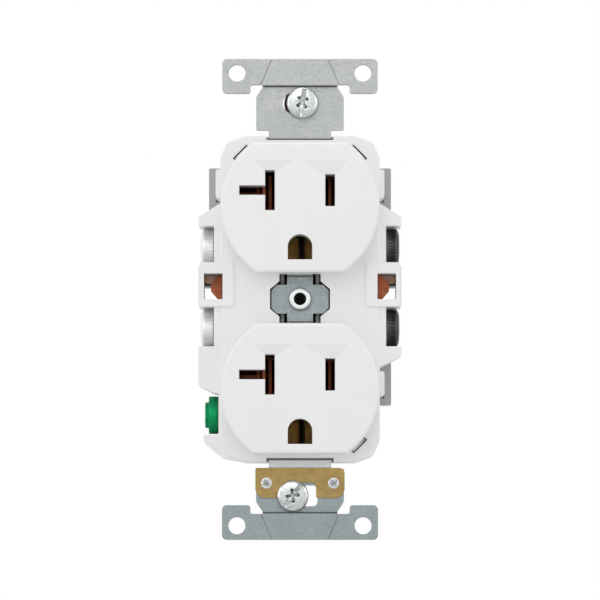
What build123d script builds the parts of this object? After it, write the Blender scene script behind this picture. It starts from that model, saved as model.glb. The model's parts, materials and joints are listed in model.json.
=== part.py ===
from build123d import *

import os

# A duplex wall receptacle for 20 A at 125 V, in millimetres. X runs to the right, Y into
# the wall and Z up. The origin is the centre of the wall-plate screw hole, in the plane of
# the fronts of the strap's ears. Neutral is at -X and hot at +X. A side is -1 or +1 in X
# and an end is -1 (lower) or +1 (upper) in Z.

# --- Yoke: the steel strap --------------------------------------------------------------
strap_length = 102.0
strap_t = 1.4
neck_set_back = 0.9            # the necks lie this far behind the ears
ear_width = 33.0
ear_height = 7.35
ear_corner_r = 1.0
ear_notch_x = 10.5             # inner side of the ears' lobes
ear_notch_depth = 5.5          # the lobes' notches start this far from the strap's end
ear_root_x = 7.9
joggle_drop = 5.75             # the bend between ears and neck, from the strap's end
joggle_lap = 0.7
ear_hole_r = 1.8
ear_hole_spacing_x = 26.7
ear_hole_inset_z = 3.0         # from the strap's end
score_width = 0.35
score_depth = 0.35
score_top_x = 5.5
score_foot_x = 8.7
neck_half_width = 9.3
neck_flare = 2.25              # below the joggle
neck_foot_gap = 1.3            # between the cover and the wide part of a neck
tongue_depth = 5.1             # the tongue reaches this far into the cover
tongue_half_width = 6.62
spine_half_width = 2.73
island_half_width = 6.05       # the plate that shows in the cover's centre window
island_half_height = 3.05
island_chamfer = 1.15
boss_r = 2.35
boss_front = -0.5
boss_back = 4.3
plate_screw_r = 1.35           # 6-32 tapped hole for the wall plate's screw
box_screw_spacing = 83.34
box_slot_length = 7.4
box_slot_width = 4.4
lower_slot_r = 1.0             # the lower neck's slot has squarer ends

# --- Outlets ----------------------------------------------------------------------------
outlet_spacing = 38.9
face_r = 16.75
face_inner_flat = 14.1         # from an outlet's centre to its flat by the middle of the cover
face_outer_flat = 13.45        # and to its flat by the end
face_front = -6.6
face_edge_r = 0.7
face_wall = 2.6
blade_row = 3.24               # height of the blade slots above the face's centre
blade_spacing = 12.7
slot_width = 2.05
neutral_slot_height = 8.5
hot_slot_height = 6.8
tee_outer_x = 12.84            # end of the T's arm, from the face's centre line
ground_drop = 11.9             # centre of the ground hole below the blade row
ground_r = 2.6
ground_flat = 2.75             # the hole's flat lies this far below its centre
guide_wall = 1.1               # walls of the guides behind the slots
groove_top = 9.62              # upper edge of the finder grooves, from the face's centre
groove_depth = 0.7
neutral_groove_x = (-9.85, -1.1)
hot_groove_x = (0.9, 10.1)

# --- Front cover ------------------------------------------------------------------------
deck_front = -0.7
cover_half_width = 16.9
cover_half_height = 34.6
cover_wall = 1.6
cover_back = 13.2              # parting plane between the cover and the back body
cover_edge_r = 0.35
wing_reach = 4.6               # the wings beside the terminal screws stand this far out of the sides
ledge_reach = 1.3              # as does the deck's edge over the screws
wing_top_inner_z = 20.3
wing_top_outer_z = 17.4
lower_wing_outer_z = 12.0
lower_wing_inner_z = 14.4
lower_block_gap = 1.9          # foot of the lower wing above the ground screw's recess
pad_inset = 2.8                # inner edge of the raised pads at the tab windows
pad_height = 0.45
tab_window_z = (-0.1, 5.4)
tab_window_width = 3.95
window_half_width = 4.37       # narrow part of the centre window
window_half_height = 5.3
window_wide_x = 6.35
window_wide_z = 2.1
window_chamfer_z = 3.75
strap_notch_x = 7.1
strap_notch_depth = 0.9
bulge_reach = 3.6              # the cover bulges round the ground terminal
bulge_wall = 0.2                # beyond the ground screw's recess
latch_reach = 1.0
upper_latch_z = (21.5, 27.5)
lower_latch_z = (-20.5, -15.3)
latch_length = 4.3             # past the parting plane
latch_gap = 0.1

# --- Back body --------------------------------------------------------------------------
body_inset = 0.4               # the back body is this much smaller than the cover, all round
body_back = 24.0
body_wall = 1.6
body_floor = 2.0
flange_reach = 2.6
flange_z = (-22.05, 28.65)
flange_depth = 6.8
shoulder_reach = 3.7           # housings for the wires, behind the wings
shoulder_z = (-11.4, 16.4)
tab_gap_z = (0.2, 3.4)         # the gap between the shoulders, behind the break-off fin
partition_x = (3.35, 4.1)      # walls between the ground and the blade contacts
lip_depth = 2.2
lip_wall = 1.2
lip_gap = 0.1
wire_hole_r = 1.5
wire_hole_reach = 1.3          # from the terminal plates
wire_hole_offset = 2.9
marking_recess = 0.4
marking_half_size = (7.0, 9.0)

# --- Terminals --------------------------------------------------------------------------
upper_terminal_z = 11.33
lower_terminal_z = -5.85
ground_terminal_z = -24.4
terminal_inset = 0.7           # the heads' edges lie this far before the parting plane
terminal_shank_r = 2.05
terminal_hole_r = 2.11
terminal_head_r = 4.0
terminal_head_t = 2.0
terminal_crown = 0.8
terminal_head_reach = 2.0      # underside of the head, from the terminal plate
terminal_shank_length = 5.8
recess_gap = 0.2               # round a screw's head
ground_head_reach = 2.1
ground_shank_length = 5.5
ground_crown_r = 2.75
clamp_t = 1.0
clamp_inset = 0.2              # the pressure plates are this much narrower than the heads
clamp_hole_r = 2.4
clamp_gap = 0.05
driver_slot = 1.1
driver_depth = 1.3
cross_share = 0.62              # of a head's radius, taken by its cross

# --- Bus bars and contacts --------------------------------------------------------------
bus_inset = 0.5                # outer side of the terminal plates, inside the cover's sides
bus_t = 1.2
web_t = 1.0
fin_reach = 2.55
fin_root_reach = 0.9
fin_front = 6.0
fin_t = 0.9
fin_flat_z = (1.9, 3.6)
contact_t = 0.7
contact_mouth_y = 3.1
contact_waist_y = 6.6
contact_half_foot = 1.8
contact_half_waist = 0.35
contact_half_mouth = 1.3
tee_contact_x = (9.3, 12.9)    # where the T blade's leaves lie, from the centre plane
web_half_height = 4.2
web_arm = 3.5
bus_overhang = 4.0             # the terminal plates reach this far past the screws
bus_step = 0.1                 # the webs stay twice this far inside the cover's wall
ground_contact_t = 0.6
ground_base_x = 3.1            # half the width of a ground contact's base
ground_leaf_z = 2.5
ground_waist_y = 7.6
ground_half_waist = 0.75
ground_slit_x = 0.3            # the slit between the leaves lies this far to the right
ground_half_tip = 1.9
ground_contact_end = 0.1       # past the parting plane
ring_half_width = 4.9          # the strap widens to a ring behind each ground hole
ring_half_height = 3.9
rivet_r = 0.7
rivet_x = 1.45
rivet_rise = 4.7               # the rivets' height above the centre of the ground hole
rivet_head_r = 1.15
rivet_head_t = 0.4
ground_contact_gap = 0.1
bracket_rivet_r = 0.55
ground_bracket_z = 3.0
ground_bracket_t = 1.2
ground_foot = 0.7               # a contact's base below the flat of its hole

# --- Mounting screws and the self-grounding clip ----------------------------------------
box_head_r = 3.3
box_head_t = 1.5
box_neck_r = 1.45              # plain neck behind the head, held by the washer
box_thread_r = 1.75
box_screw_length = 25.0
upper_screw_x = 0.5
lower_screw_x = -1.55
upper_screw_turn = 80           # of the driver slot, in degrees
lower_screw_turn = 52
washer_r = 3.6
washer_t = 0.8
washer_hole_r = 1.52
washer_shift = -0.25
running_gap = 0.05
clip_t = 0.4
clip_half_width = 9.45
clip_top_z = 35.75
clip_foot_z = 42.1
clip_opening_x = (-4.4, 3.4)
clip_opening_z = 38.8
stake_x = 7.1
stake_z = 39.0
stake_r = 1.15
stake_head = 0.3

# --- Assembly clips ---------------------------------------------------------------------
tie_inset_x = 2.9              # from the inside of the cover's walls
tie_inset_z = 2.1
tie_slot = (4.1, 1.1)
tie_length = 3.6
tie_t = 0.6
tie_barb = 4.4
tie_gap = 0.1

# --- Values that follow -----------------------------------------------------------------
strap_end = strap_length / 2
joggle_z = strap_end - joggle_drop
ear_hole_spacing_z = strap_length - 2 * ear_hole_inset_z
neck_foot_z = cover_half_height + neck_foot_gap
tongue_z = cover_half_height - tongue_depth
neck_front = neck_set_back
neck_back = neck_front + strap_t
deck_back = neck_front
cavity_x = cover_half_width - cover_wall
cavity_z = cover_half_height - cover_wall
wing_x = cover_half_width + wing_reach
ledge_x = cover_half_width + ledge_reach
pad_x = cover_half_width - pad_inset
bulge_x = cover_half_width + bulge_reach
latch_x = cover_half_width + latch_reach
latch_back = cover_back + latch_length
body_half_width = cover_half_width - body_inset
body_half_height = cover_half_height - body_inset
flange_x = cover_half_width + flange_reach
flange_back = cover_back + flange_depth
shoulder_x = cover_half_width + shoulder_reach
bus_x = (cover_half_width - bus_inset - bus_t, cover_half_width - bus_inset)
tab_window_x = (bus_x[1], bus_x[1] + tab_window_width)
fin_x = bus_x[1] + fin_reach
fin_root_x = bus_x[1] + fin_root_reach
ground_plate_x = (cavity_x - bus_t, cavity_x)
terminal_y = cover_back - terminal_head_r - terminal_inset
terminal_head_x = bus_x[1] + terminal_head_reach
ground_head_x = ground_plate_x[1] + ground_head_reach
wire_hole_x = bus_x[1] + wire_hole_reach
terminal_recess = terminal_head_r + recess_gap
ground_recess_z = (ground_terminal_z - terminal_recess - 0.1, ground_terminal_z + terminal_recess)
bulge_foot_z = ground_terminal_z - terminal_recess - bulge_wall
lower_block_foot_z = ground_recess_z[1] + lower_block_gap
ledge_back = terminal_y - terminal_head_r - 1.0
bus_front = ledge_back + 0.5
clamp_half_width = terminal_head_r - clamp_inset
clamp_half_depth = terminal_head_r
web_back = cover_back
ground_contact_back = cover_back + ground_contact_end
tie_x = cavity_x - tie_inset_x
tie_z = cavity_z - tie_inset_z
ends = {"upper": 1, "lower": -1}
outlets = {name: end * outlet_spacing / 2 for name, end in ends.items()}
sides = {"neutral": -1, "hot": 1}
terminals = {"upper": upper_terminal_z, "lower": lower_terminal_z}
blade_x = blade_spacing / 2
box_screw_z = box_screw_spacing / 2
box_head_back = neck_front - clip_t - running_gap
web_front = web_back - web_t
floor_front = body_back - body_floor
ground_hole_z = blade_row - ground_drop
bracket_rivet_x = -(ground_base_x + ring_half_width) / 2 - 0.1
bracket_rivet_z = ground_terminal_z - ground_bracket_z / 2
ground_foot_z = ground_hole_z - ground_flat - ground_foot


def outline(corners):
    """Face in the drawing plane from (x, z, corner radius) points in order."""
    path = FilletPolyline(*[(x, z) for x, z, _ in corners], radius=[r for _, _, r in corners], close=True)
    return make_face(path)


def plate(face, front, back):
    """Solid from a face drawn in X and Z, between two Y planes."""
    return Pos(0, back, 0) * extrude(Plane.XZ * face, back - front)


def block(x, y, z):
    """Box between pairs of limits in X, Y and Z."""
    size = (abs(x[1] - x[0]), abs(y[1] - y[0]), abs(z[1] - z[0]))
    return Pos(sum(x) / 2, sum(y) / 2, sum(z) / 2) * Box(*size)


def side_block(side, x, y, z):
    """A block on one side, its X limits measured from the centre plane."""
    return block((side * x[0], side * x[1]), y, z)


def rod_y(x, z, r, front, back):
    """Cylinder along Y."""
    return Pos(x, (front + back) / 2, z) * Rot(90, 0, 0) * Cylinder(r, back - front)


def rod_x(x, y, z, r):
    """Cylinder along X between two X limits."""
    return Pos(sum(x) / 2, y, z) * Rot(0, 90, 0) * Cylinder(r, abs(x[1] - x[0]))


def mirrored(shape):
    """The shape's image in the centre plane X = 0."""
    return mirror(shape, Plane.YZ)


def both_sides(shape):
    """The shape and its image in the centre plane."""
    return shape + mirrored(shape)


# --- Outlines of the openings in the outlet faces ---------------------------------------
def slot_face(x, height, grow=0.0):
    return Pos(x, blade_row) * Rectangle(slot_width + 2 * grow, height + 2 * grow)


def tee_face(grow=0.0):
    """The neutral slot's T arm, from the blade slot outwards."""
    length = tee_outer_x - blade_x + 2 * grow
    return Pos(-(tee_outer_x + blade_x) / 2, blade_row) * Rectangle(length, slot_width + 2 * grow)


def ground_face(grow=0.0):
    """Ground hole: an arch above a flat."""
    foot = Pos(0, -(ground_flat + grow) / 2) * Rectangle(2 * (ground_r + grow), ground_flat + grow)
    return Pos(0, ground_hole_z) * (Circle(ground_r + grow) + foot)


def openings_face(grow=0.0):
    neutral = slot_face(-blade_x, neutral_slot_height, grow) + tee_face(grow)
    return neutral + slot_face(blade_x, hot_slot_height, grow) + ground_face(grow)


def outlet_outline(end, inset=0.0):
    """Front view of an outlet face about its centre."""
    height = face_inner_flat + face_outer_flat - 2 * inset
    middle = end * (face_outer_flat - face_inner_flat) / 2
    return Circle(face_r - inset) & Pos(0, middle) * Rectangle(2 * face_r, height)


def finder_groove(x_limits, slot_x, slot_top):
    """Wedge that deepens from the groove's upper edge to the slot, at the face's centre."""
    top = groove_top
    foot = slot_top - 0.3
    lean = groove_depth / (top - foot)
    deep = face_front + groove_depth + 0.6 * lean
    profile = Polyline((face_front, top), (deep, foot - 0.6), (face_front - 1, foot - 0.6),
                       (face_front - 1, top), close=True)
    wedge = Pos(-face_r, 0, 0) * extrude(Plane.YZ * make_face(profile), 2 * face_r)
    half = slot_width / 2
    corners = [(x_limits[0], top, 0), (x_limits[1], top, 0), (slot_x + half, foot, 0),
               (slot_x - half, foot, 0)]
    return wedge & plate(outline(corners), face_front - 1, face_front + 2)


# --- Front cover ------------------------------------------------------------------------
def main_outline(inset=0.0):
    """Front view of the cover's main block, or of its cavity when inset."""
    x = cover_half_width - inset
    z = cover_half_height - inset
    right = [(x - 5.2, z, 3.0), (x - 1.4, z - 1.4, 2.0), (x, z - 4.6, 2.0)]
    upper = right + [(x, -z + 4.6, 2.0), (x - 1.4, -z + 1.4, 2.0), (x - 5.2, -z, 3.0)]
    return outline(upper + [(-px, pz, r) for px, pz, r in reversed(upper)])


def wing_outline(side):
    """Front view of one side's wings, with the ledges over the terminal screws between."""
    root = cavity_x
    top = upper_terminal_z + terminal_recess
    shelf = upper_terminal_z - terminal_recess
    sill = lower_terminal_z + terminal_recess
    foot = lower_terminal_z - terminal_recess
    corners = [(root, wing_top_inner_z, 0.3), (cover_half_width, wing_top_inner_z, 0.3),
               (wing_x, wing_top_outer_z, 0.8), (wing_x, top, 0.2), (ledge_x, top, 0.2),
               (ledge_x, shelf, 0.2), (wing_x, shelf, 0.3), (wing_x, sill, 0.3), (ledge_x, sill, 0.2),
               (ledge_x, foot, 0.2)]
    if side > 0:
        corners += [(wing_x, foot, 0.3), (wing_x, -lower_wing_outer_z, 0.6),
                    (cover_half_width, -lower_wing_inner_z, 0.3), (root, -lower_wing_inner_z, 0.3)]
    else:
        sole = lower_block_foot_z
        bulge = bulge_foot_z
        corners += [(wing_x, foot, 0.3), (wing_x, sole, 0.5), (ledge_x, sole - 1.6, 0.6),
                    (ground_head_x - 0.2, sole - 1.8, 0.2), (ground_head_x - 0.2, bulge, 0.2),
                    (bulge_x, bulge, 0.3), (bulge_x - 0.2, bulge - 1.6, 1.6),
                    (bulge_x - 4.2, -cover_half_height + 0.8, 4.0),
                    (cover_half_width - 7.0, -cover_half_height, 4.0),
                    (root - 6.5, -cover_half_height + 3, 0.3), (root, bulge + 2, 0.3)]
    return outline([(side * x, z, r) for x, z, r in corners])


def centre_window():
    """Front view of the window that shows the strap."""
    narrow = Rectangle(2 * window_half_width, 2 * window_half_height)
    w = window_wide_x
    half = [(w, window_wide_z), (window_half_width, window_chamfer_z)]
    loop = half + [(-x, z) for x, z in reversed(half)]
    loop = loop + [(-x, -z) for x, z in half] + [(x, -z) for x, z in reversed(half)]
    return narrow + make_face(Polyline(*loop, close=True))


def tie_places():
    """Centre and turn of each assembly clip; the ground terminal takes the fourth corner."""
    upper = [("upper_left", -tie_x, tie_z, 45), ("upper_right", tie_x, tie_z, -45)]
    return upper + [("lower_right", tie_x, -tie_z, 45)]


def tie_bar(x, z, turn, length, thickness, front, back):
    return plate(Pos(x, z) * Rot(0, 0, turn) * Rectangle(length, thickness), front, back)


def outlet_block(end, centre_z):
    """One raised outlet face with its rounded edge, solid."""
    raised = plate(outlet_outline(end), face_front, deck_back)
    rim = raised.faces().sort_by(Axis.Y)[0].edges()
    return Pos(0, 0, centre_z) * fillet(rim, face_edge_r)


def outlet_hollow(end, centre_z):
    """Space behind one outlet face, round the guides of its slots."""
    space = outlet_outline(end, cover_wall + 0.4) - openings_face(guide_wall)
    return Pos(0, 0, centre_z) * plate(space, face_front + face_wall, deck_back)


def outlet_cuts(centre_z):
    """Slots, ground hole and finder grooves of one outlet."""
    neutral_top = blade_row + neutral_slot_height / 2
    hot_top = blade_row + hot_slot_height / 2
    cut = plate(openings_face(), face_front - 1, deck_back)
    cut += finder_groove(neutral_groove_x, -blade_x, neutral_top)
    cut += finder_groove(hot_groove_x, blade_x, hot_top)
    return Pos(0, 0, centre_z) * cut


def tab_window(side):
    return side_block(side, tab_window_x, (deck_front - 2, cover_back + 1), tab_window_z)


def terminal_space(side, z):
    """Recess for one terminal screw, open to the side and the back."""
    limits = (z - terminal_recess, z + terminal_recess)
    return side_block(side, (bus_x[1] + 0.1, wing_x + 1), (ledge_back, cover_back + 1), limits)


def bus_space(side):
    """Pocket for a bus bar's terminal plate, through the cover's side wall."""
    x = (min(bus_x[0], cavity_x) - 0.2, bus_x[1] + 0.1)
    limits = (lower_terminal_z - terminal_recess - 0.4, upper_terminal_z + terminal_recess + 0.4)
    return side_block(side, x, (ledge_back, cover_back + 1), limits)


def ground_space():
    """Recess for the ground screw and its terminal plate."""
    return block((-wing_x - 1, -ground_plate_x[0] + 0.3), (ledge_back, cover_back + 1), ground_recess_z)


def latch_places():
    """Side and Z limits of each snap latch; the ground terminal takes the fourth place."""
    return [(-1, upper_latch_z), (1, upper_latch_z), (1, lower_latch_z)]


def latch(side, limits):
    """Snap latch that reaches back over the flange of the back body."""
    inner = body_half_width + latch_gap
    bar = side_block(side, (inner, latch_x), (deck_front + 0.6, latch_back), limits)
    nose = bar.edges().filter_by(Axis.Y).sort_by(lambda edge: side * edge.center().X)[-2:]
    return fillet(nose, 0.6)


def front_cover():
    """White cover with two outlet faces, the deck between them, the skirt and the wings."""
    deck = plate(main_outline(), deck_front, cover_back)
    deck = fillet(deck.faces().sort_by(Axis.Y)[0].edges(), cover_edge_r)
    cavity = plate(main_outline(cover_wall), deck_back, cover_back)
    cover = deck
    for side in sides.values():
        cover += plate(wing_outline(side), deck_front + 0.35, cover_back)
        pad_z = (lower_terminal_z + terminal_recess + 0.05, upper_terminal_z - terminal_recess + 0.6)
        cover += side_block(side, (pad_x, wing_x - 0.3), (deck_front - pad_height, deck_back), pad_z)
    cover -= cavity
    for name, centre_z in outlets.items():
        cover += outlet_block(ends[name], centre_z)
    for side, limits in latch_places():
        cover += latch(side, limits) - cavity
    for name, centre_z in outlets.items():
        cover -= outlet_hollow(ends[name], centre_z) + outlet_cuts(centre_z)
    for side in sides.values():
        cover -= tab_window(side) + bus_space(side)
        for z in terminals.values():
            cover -= terminal_space(side, z)
    cover -= ground_space()
    cover -= plate(centre_window(), deck_front - 1, deck_back)
    for end in (-1, 1):
        edge_z = sorted((end * (cover_half_height - strap_notch_depth), end * (cover_half_height + 1)))
        cover -= block((-strap_notch_x, strap_notch_x), (deck_front - 1, neck_back + 0.1), edge_z)
        wall_z = sorted((end * (cavity_z - 0.1), end * (cover_half_height + 1)))
        cover -= block((-strap_notch_x, strap_notch_x), (deck_back, neck_back + 0.1), wall_z)
    for _, x, z, turn in tie_places():
        cover -= tie_bar(x, z, turn, *tie_slot, deck_front - 1, deck_back)
    return cover


# --- Back body --------------------------------------------------------------------------
def body_outline(side):
    """Front view of one side's flange and wire housings."""
    low = flange_z[0] if side > 0 else lower_block_foot_z + 0.8
    root = body_half_width - body_wall
    corners = [(root, flange_z[1], 0.2), (flange_x, flange_z[1], 0.3),
               (flange_x, shoulder_z[1] + 1, 0.3), (shoulder_x, shoulder_z[1], 0.3),
               (shoulder_x, shoulder_z[0], 0.3), (flange_x, shoulder_z[0] - 1, 0.3),
               (flange_x, low, 0.3), (root, low, 0.2)]
    return outline([(side * x, z, r) for x, z, r in corners])


def wire_holes(side, z):
    """Two wire holes from the back into the gap behind one pressure plate."""
    holes = [rod_y(side * wire_hole_x, z + offset, wire_hole_r, cover_back - 1, body_back + 1)
             for offset in (-wire_hole_offset, wire_hole_offset)]
    return holes[0] + holes[1]


def contact_ribs(side, centre_z):
    """Ribs between the floor and a bus bar's web, beside the blade contacts."""
    x = (partition_x[0], body_half_width - 0.5)
    ribs = Part()
    for z in (centre_z + blade_row - 3.2, centre_z + blade_row + 3.2):
        ribs += side_block(side, x, (web_back, floor_front), (z - 0.6, z + 0.6))
    return ribs


def partitions():
    """The two walls beside the ground contacts; they carry the strap's back."""
    wall = block(partition_x, (neck_back, floor_front), (-body_half_height + 1, body_half_height - 1))
    half = ground_bracket_z + 0.6
    arm_x = (-partition_x[1] - 1, -partition_x[0] + 1)
    arm_y = (neck_back - 1, neck_back + ground_bracket_t + 0.3)
    notch = block(arm_x, arm_y, (ground_terminal_z - half, ground_terminal_z + half))
    return both_sides(wall) - notch


def end_pad(end):
    """End wall that the strap's tongue rests on, nested inside the cover's skirt."""
    outer = cavity_z - lip_gap
    limits = sorted((end * (outer - lip_wall), end * outer))
    half = strap_notch_x - 1.2
    return block((-half, half), (neck_back, cover_back), limits)


def contact_foot_space():
    """Room for the foot of the lower ground contact, at the lower end wall."""
    half = ground_base_x + ground_contact_gap
    foot = outlets["lower"] + ground_foot_z - ground_contact_gap
    return block((-half, half), (neck_back - 1, cover_back - lip_depth), (foot, foot + 2 * ground_base_x))


def back_body():
    """Grey rear shell with the chambers for the contacts and the holes for the wires."""
    inset = cover_half_width - body_half_width
    shell = plate(main_outline(inset), cover_back, body_back)
    shell = fillet(shell.faces().sort_by(Axis.Y)[-1].edges(), 0.6)
    for side in sides.values():
        shell += plate(body_outline(side), cover_back, flange_back)
        shoulder = (body_half_width - body_wall, shoulder_x - 0.2)
        for limits in ((shoulder_z[0], tab_gap_z[0]), (tab_gap_z[1], shoulder_z[1])):
            shell += side_block(side, shoulder, (flange_back, body_back), limits)
        tab_gap = (body_half_width, shoulder_x + 1)
        shell -= side_block(side, tab_gap, (cover_back - 1, body_back + 1), tab_gap_z)
        for z in terminals.values():
            shell -= wire_holes(side, z)
    ground_wire_x = -(ground_plate_x[1] + ground_head_x - clamp_t) / 2
    for offset in (-wire_hole_offset, wire_hole_offset):
        z = ground_terminal_z + offset
        shell -= rod_y(ground_wire_x, z, wire_hole_r, cover_back - 1, body_back + 1)
    shell -= plate(main_outline(inset + body_wall), cover_back, floor_front)
    for side, limits in latch_places():
        x = (body_half_width, latch_x + latch_gap)
        z = (limits[0] - latch_gap, limits[1] + latch_gap)
        shell -= side_block(side, x, (cover_back - 1, latch_back + 0.5), z)
    chamber = plate(main_outline(inset + body_wall - 0.01), cover_back - 12, body_back)
    inside = partitions()
    for side in sides.values():
        for centre_z in outlets.values():
            inside += contact_ribs(side, centre_z)
    shell += inside & chamber
    lip_inside = main_outline(cover_wall + lip_gap + lip_wall)
    lip = main_outline(cover_wall + lip_gap) - lip_inside
    lip_root = main_outline(inset + body_wall - 0.3) - lip_inside
    for end in (-1, 1):
        band = Pos(0, end * cover_half_height) * Rectangle(4 * cover_half_width, 9)
        shell += plate(lip & band, cover_back - lip_depth, cover_back)
        shell += plate(lip_root & band, cover_back, cover_back + 0.5)
        shell += end_pad(end)
    shell -= contact_foot_space()
    for _, x, z, turn in tie_places():
        width = tie_t + 2 * tie_gap
        shell -= tie_bar(x, z, turn, tie_barb + 2 * tie_gap, width, 0, cover_back + 1)
        shell -= tie_bar(x, z, turn, tie_length + 2 * tie_gap, width, 0, body_back + 1)
    x, z = marking_half_size
    return shell - block((-x, x), (body_back - marking_recess, body_back + 1), (-z, z))


# --- Yoke -------------------------------------------------------------------------------
def ear_plate(end):
    """The plate with the two ears, at one end of the strap."""
    half = ear_width / 2
    lobe_z = strap_end - ear_height
    notch_z = strap_end - ear_notch_depth
    right = [(half, strap_end, ear_corner_r), (half, lobe_z, ear_corner_r), (ear_notch_x, lobe_z, 0.6),
             (ear_notch_x, notch_z, 0.5), (ear_root_x, notch_z, 0.2), (ear_root_x, joggle_z, 0)]
    left = [(-x, z, r) for x, z, r in reversed(right)]
    ears = plate(outline(right + left), 0, strap_t)
    for x in (-ear_hole_spacing_x / 2, ear_hole_spacing_x / 2):
        ears -= rod_y(x, ear_hole_spacing_z / 2, ear_hole_r, -1, strap_t + 1)
    score = Polyline((score_top_x, strap_end + 1), (score_foot_x, notch_z - 1))
    run = trace(score, score_width)
    ears -= both_sides(plate(run, -1, score_depth))
    return ears if end > 0 else mirror(ears, Plane.XY)


def neck(end):
    """The joggled neck with its mounting slot, and the tongue that enters the cover."""
    right = [(ear_root_x, joggle_z + joggle_lap, 0), (ear_root_x, joggle_z - 0.2, 1.2),
             (neck_half_width, joggle_z - neck_flare, 1.6), (neck_half_width, neck_foot_z, 0.3),
             (tongue_half_width, neck_foot_z, 0.3), (tongue_half_width, tongue_z, 0.5)]
    left = [(-x, z, r) for x, z, r in reversed(right)]
    shape = plate(outline(right + left), neck_front, neck_back)
    slot_r = box_slot_width / 2 - 0.01 if end > 0 else lower_slot_r
    slot = Pos(0, box_screw_z) * RectangleRounded(box_slot_length, box_slot_width, slot_r)
    shape -= plate(slot, neck_front - 1, neck_back + 1)
    return shape if end > 0 else mirror(shape, Plane.XY)


def yoke():
    """Steel strap from ear to ear, with ground rings behind the outlets and the tapped boss."""
    spine = Rectangle(2 * spine_half_width, 2 * tongue_z + 2)
    island = Rectangle(2 * island_half_width, 2 * island_half_height)
    middle = spine + chamfer(island.vertices(), island_chamfer)
    ring = RectangleRounded(2 * ring_half_width, 2 * ring_half_height, 1.0)
    for centre_z in outlets.values():
        middle += Pos(0, centre_z + ground_hole_z - 0.2) * ring
    strap = plate(middle, neck_front, neck_back)
    for end in (-1, 1):
        strap += ear_plate(end) + neck(end)
    boss = rod_y(0, 0, boss_r, boss_front, boss_back)
    strap += fillet(boss.faces().sort_by(Axis.Y)[0].edges(), 0.5)
    strap -= rod_y(0, 0, plate_screw_r, boss_front - 1, boss_back + 1)
    for centre_z in outlets.values():
        strap -= Pos(0, 0, centre_z) * plate(ground_face(0.35), neck_front - 1, neck_back + 1)
    for x, z in rivet_places():
        strap -= rod_y(x, z, rivet_r, neck_front - 1, neck_back + 1)
    strap -= rod_y(bracket_rivet_x, bracket_rivet_z, bracket_rivet_r, neck_front - 1, neck_back + 1)
    for x in (-stake_x, stake_x):
        strap -= rod_y(x, -stake_z, stake_r, neck_front - 1, neck_back + 1)
    return strap


# --- Ground contacts --------------------------------------------------------------------
def rivet_places():
    """Rivets on the strap's spine, two above each ground hole."""
    rows = [centre_z + ground_hole_z + rivet_rise for centre_z in outlets.values()]
    return [(x, z) for z in rows for x in (-rivet_x, rivet_x)]


def leaf(points, thickness):
    """Bent strip drawn as a centre line through points."""
    return trace(Polyline(*points), thickness)


def ground_contact(centre_z):
    """Brass base on the strap's back, with two leaves that close on the ground pin."""
    z = centre_z + ground_hole_z
    t = ground_contact_t
    back = neck_back + t
    foot_z = ground_foot_z - ground_hole_z
    base_top = rivet_rise + 1.4
    base = RectangleRounded(2 * ground_base_x, base_top - foot_z, 0.4)
    shape = Pos(0, 0, z) * plate(Pos(0, (base_top + foot_z) / 2) * base, neck_back, back)
    shape -= Pos(0, 0, centre_z) * plate(ground_face(0.1), 0, back + 1)
    outer = ground_base_x - t / 2
    for side in (-1, 1):
        bend = [(side * outer, back - 0.2), (side * (outer - 0.1), back + 1.0),
                (side * ground_half_waist + ground_slit_x, ground_waist_y),
                (side * ground_half_waist + ground_slit_x, ground_waist_y + 1.6),
                (side * ground_half_tip + ground_slit_x / 2, ground_contact_back)]
        shape += Pos(0, 0, z - ground_leaf_z) * extrude(leaf(bend, t), 2 * ground_leaf_z)
    for x, rivet_z in rivet_places():
        shape -= rod_y(x, rivet_z, rivet_r, neck_back - 1, back + 1)
    return shape


def ground_terminal():
    """Bracket from the strap's back to the terminal plate under the green screw."""
    y = neck_back
    z = (ground_terminal_z - ground_bracket_z, ground_terminal_z + ground_bracket_z)
    arm = block((-ground_plate_x[1], -ground_base_x - 0.2), (y, y + ground_bracket_t), z)
    tab = block((-ground_plate_x[1], -ground_plate_x[0]), (y, terminal_y + terminal_recess), z)
    hole_x = (-ground_plate_x[1] - 1, -ground_plate_x[0] + 1)
    bracket = arm + tab - rod_x(hole_x, terminal_y, ground_terminal_z, terminal_hole_r)
    rivet_y = (y - 1, y + ground_bracket_t + 1)
    return bracket - rod_y(bracket_rivet_x, bracket_rivet_z, bracket_rivet_r, *rivet_y)


def contact_rivets():
    """Rivets through the strap into the ground contacts and the ground terminal's bracket."""
    rivets = []
    for x, z in rivet_places():
        back = neck_back + ground_contact_t
        shank = rod_y(x, z, rivet_r, neck_front + 0.1, back)
        rivets.append(shank + rod_y(x, z, rivet_head_r, back, back + rivet_head_t))
    back = neck_back + ground_bracket_t
    rivets.append(rod_y(bracket_rivet_x, bracket_rivet_z, bracket_rivet_r, neck_front + 0.1, back + 0.2))
    return Compound(rivets)


# --- Bus bars ---------------------------------------------------------------------------
def contact_leaf(side):
    """Centre line of one leaf of a blade contact, as (distance from the blade's centre, Y)."""
    foot = side * contact_half_foot
    waist = side * (contact_half_waist + contact_t / 2)
    return [(foot, web_front + 0.2), (foot, web_front - 1.2), (waist, contact_waist_y),
            (side * contact_half_mouth, contact_mouth_y)]


def blade_contact(x, centre_z, half_height):
    """Two leaves that close on an upright blade."""
    z = centre_z + blade_row
    pair = leaf(contact_leaf(-1), contact_t) + leaf(contact_leaf(1), contact_t)
    return Pos(x, 0, z - half_height) * extrude(pair, 2 * half_height)


def tee_contact(centre_z):
    """Two leaves that close on the T blade, above and below the arm of the T."""
    z = centre_z + blade_row
    pair = Sketch() + [leaf([(y, d) for d, y in contact_leaf(side)], contact_t) for side in (-1, 1)]
    return Pos(-tee_contact_x[1], 0, z) * extrude(Plane.YZ * pair, tee_contact_x[1] - tee_contact_x[0])


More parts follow.
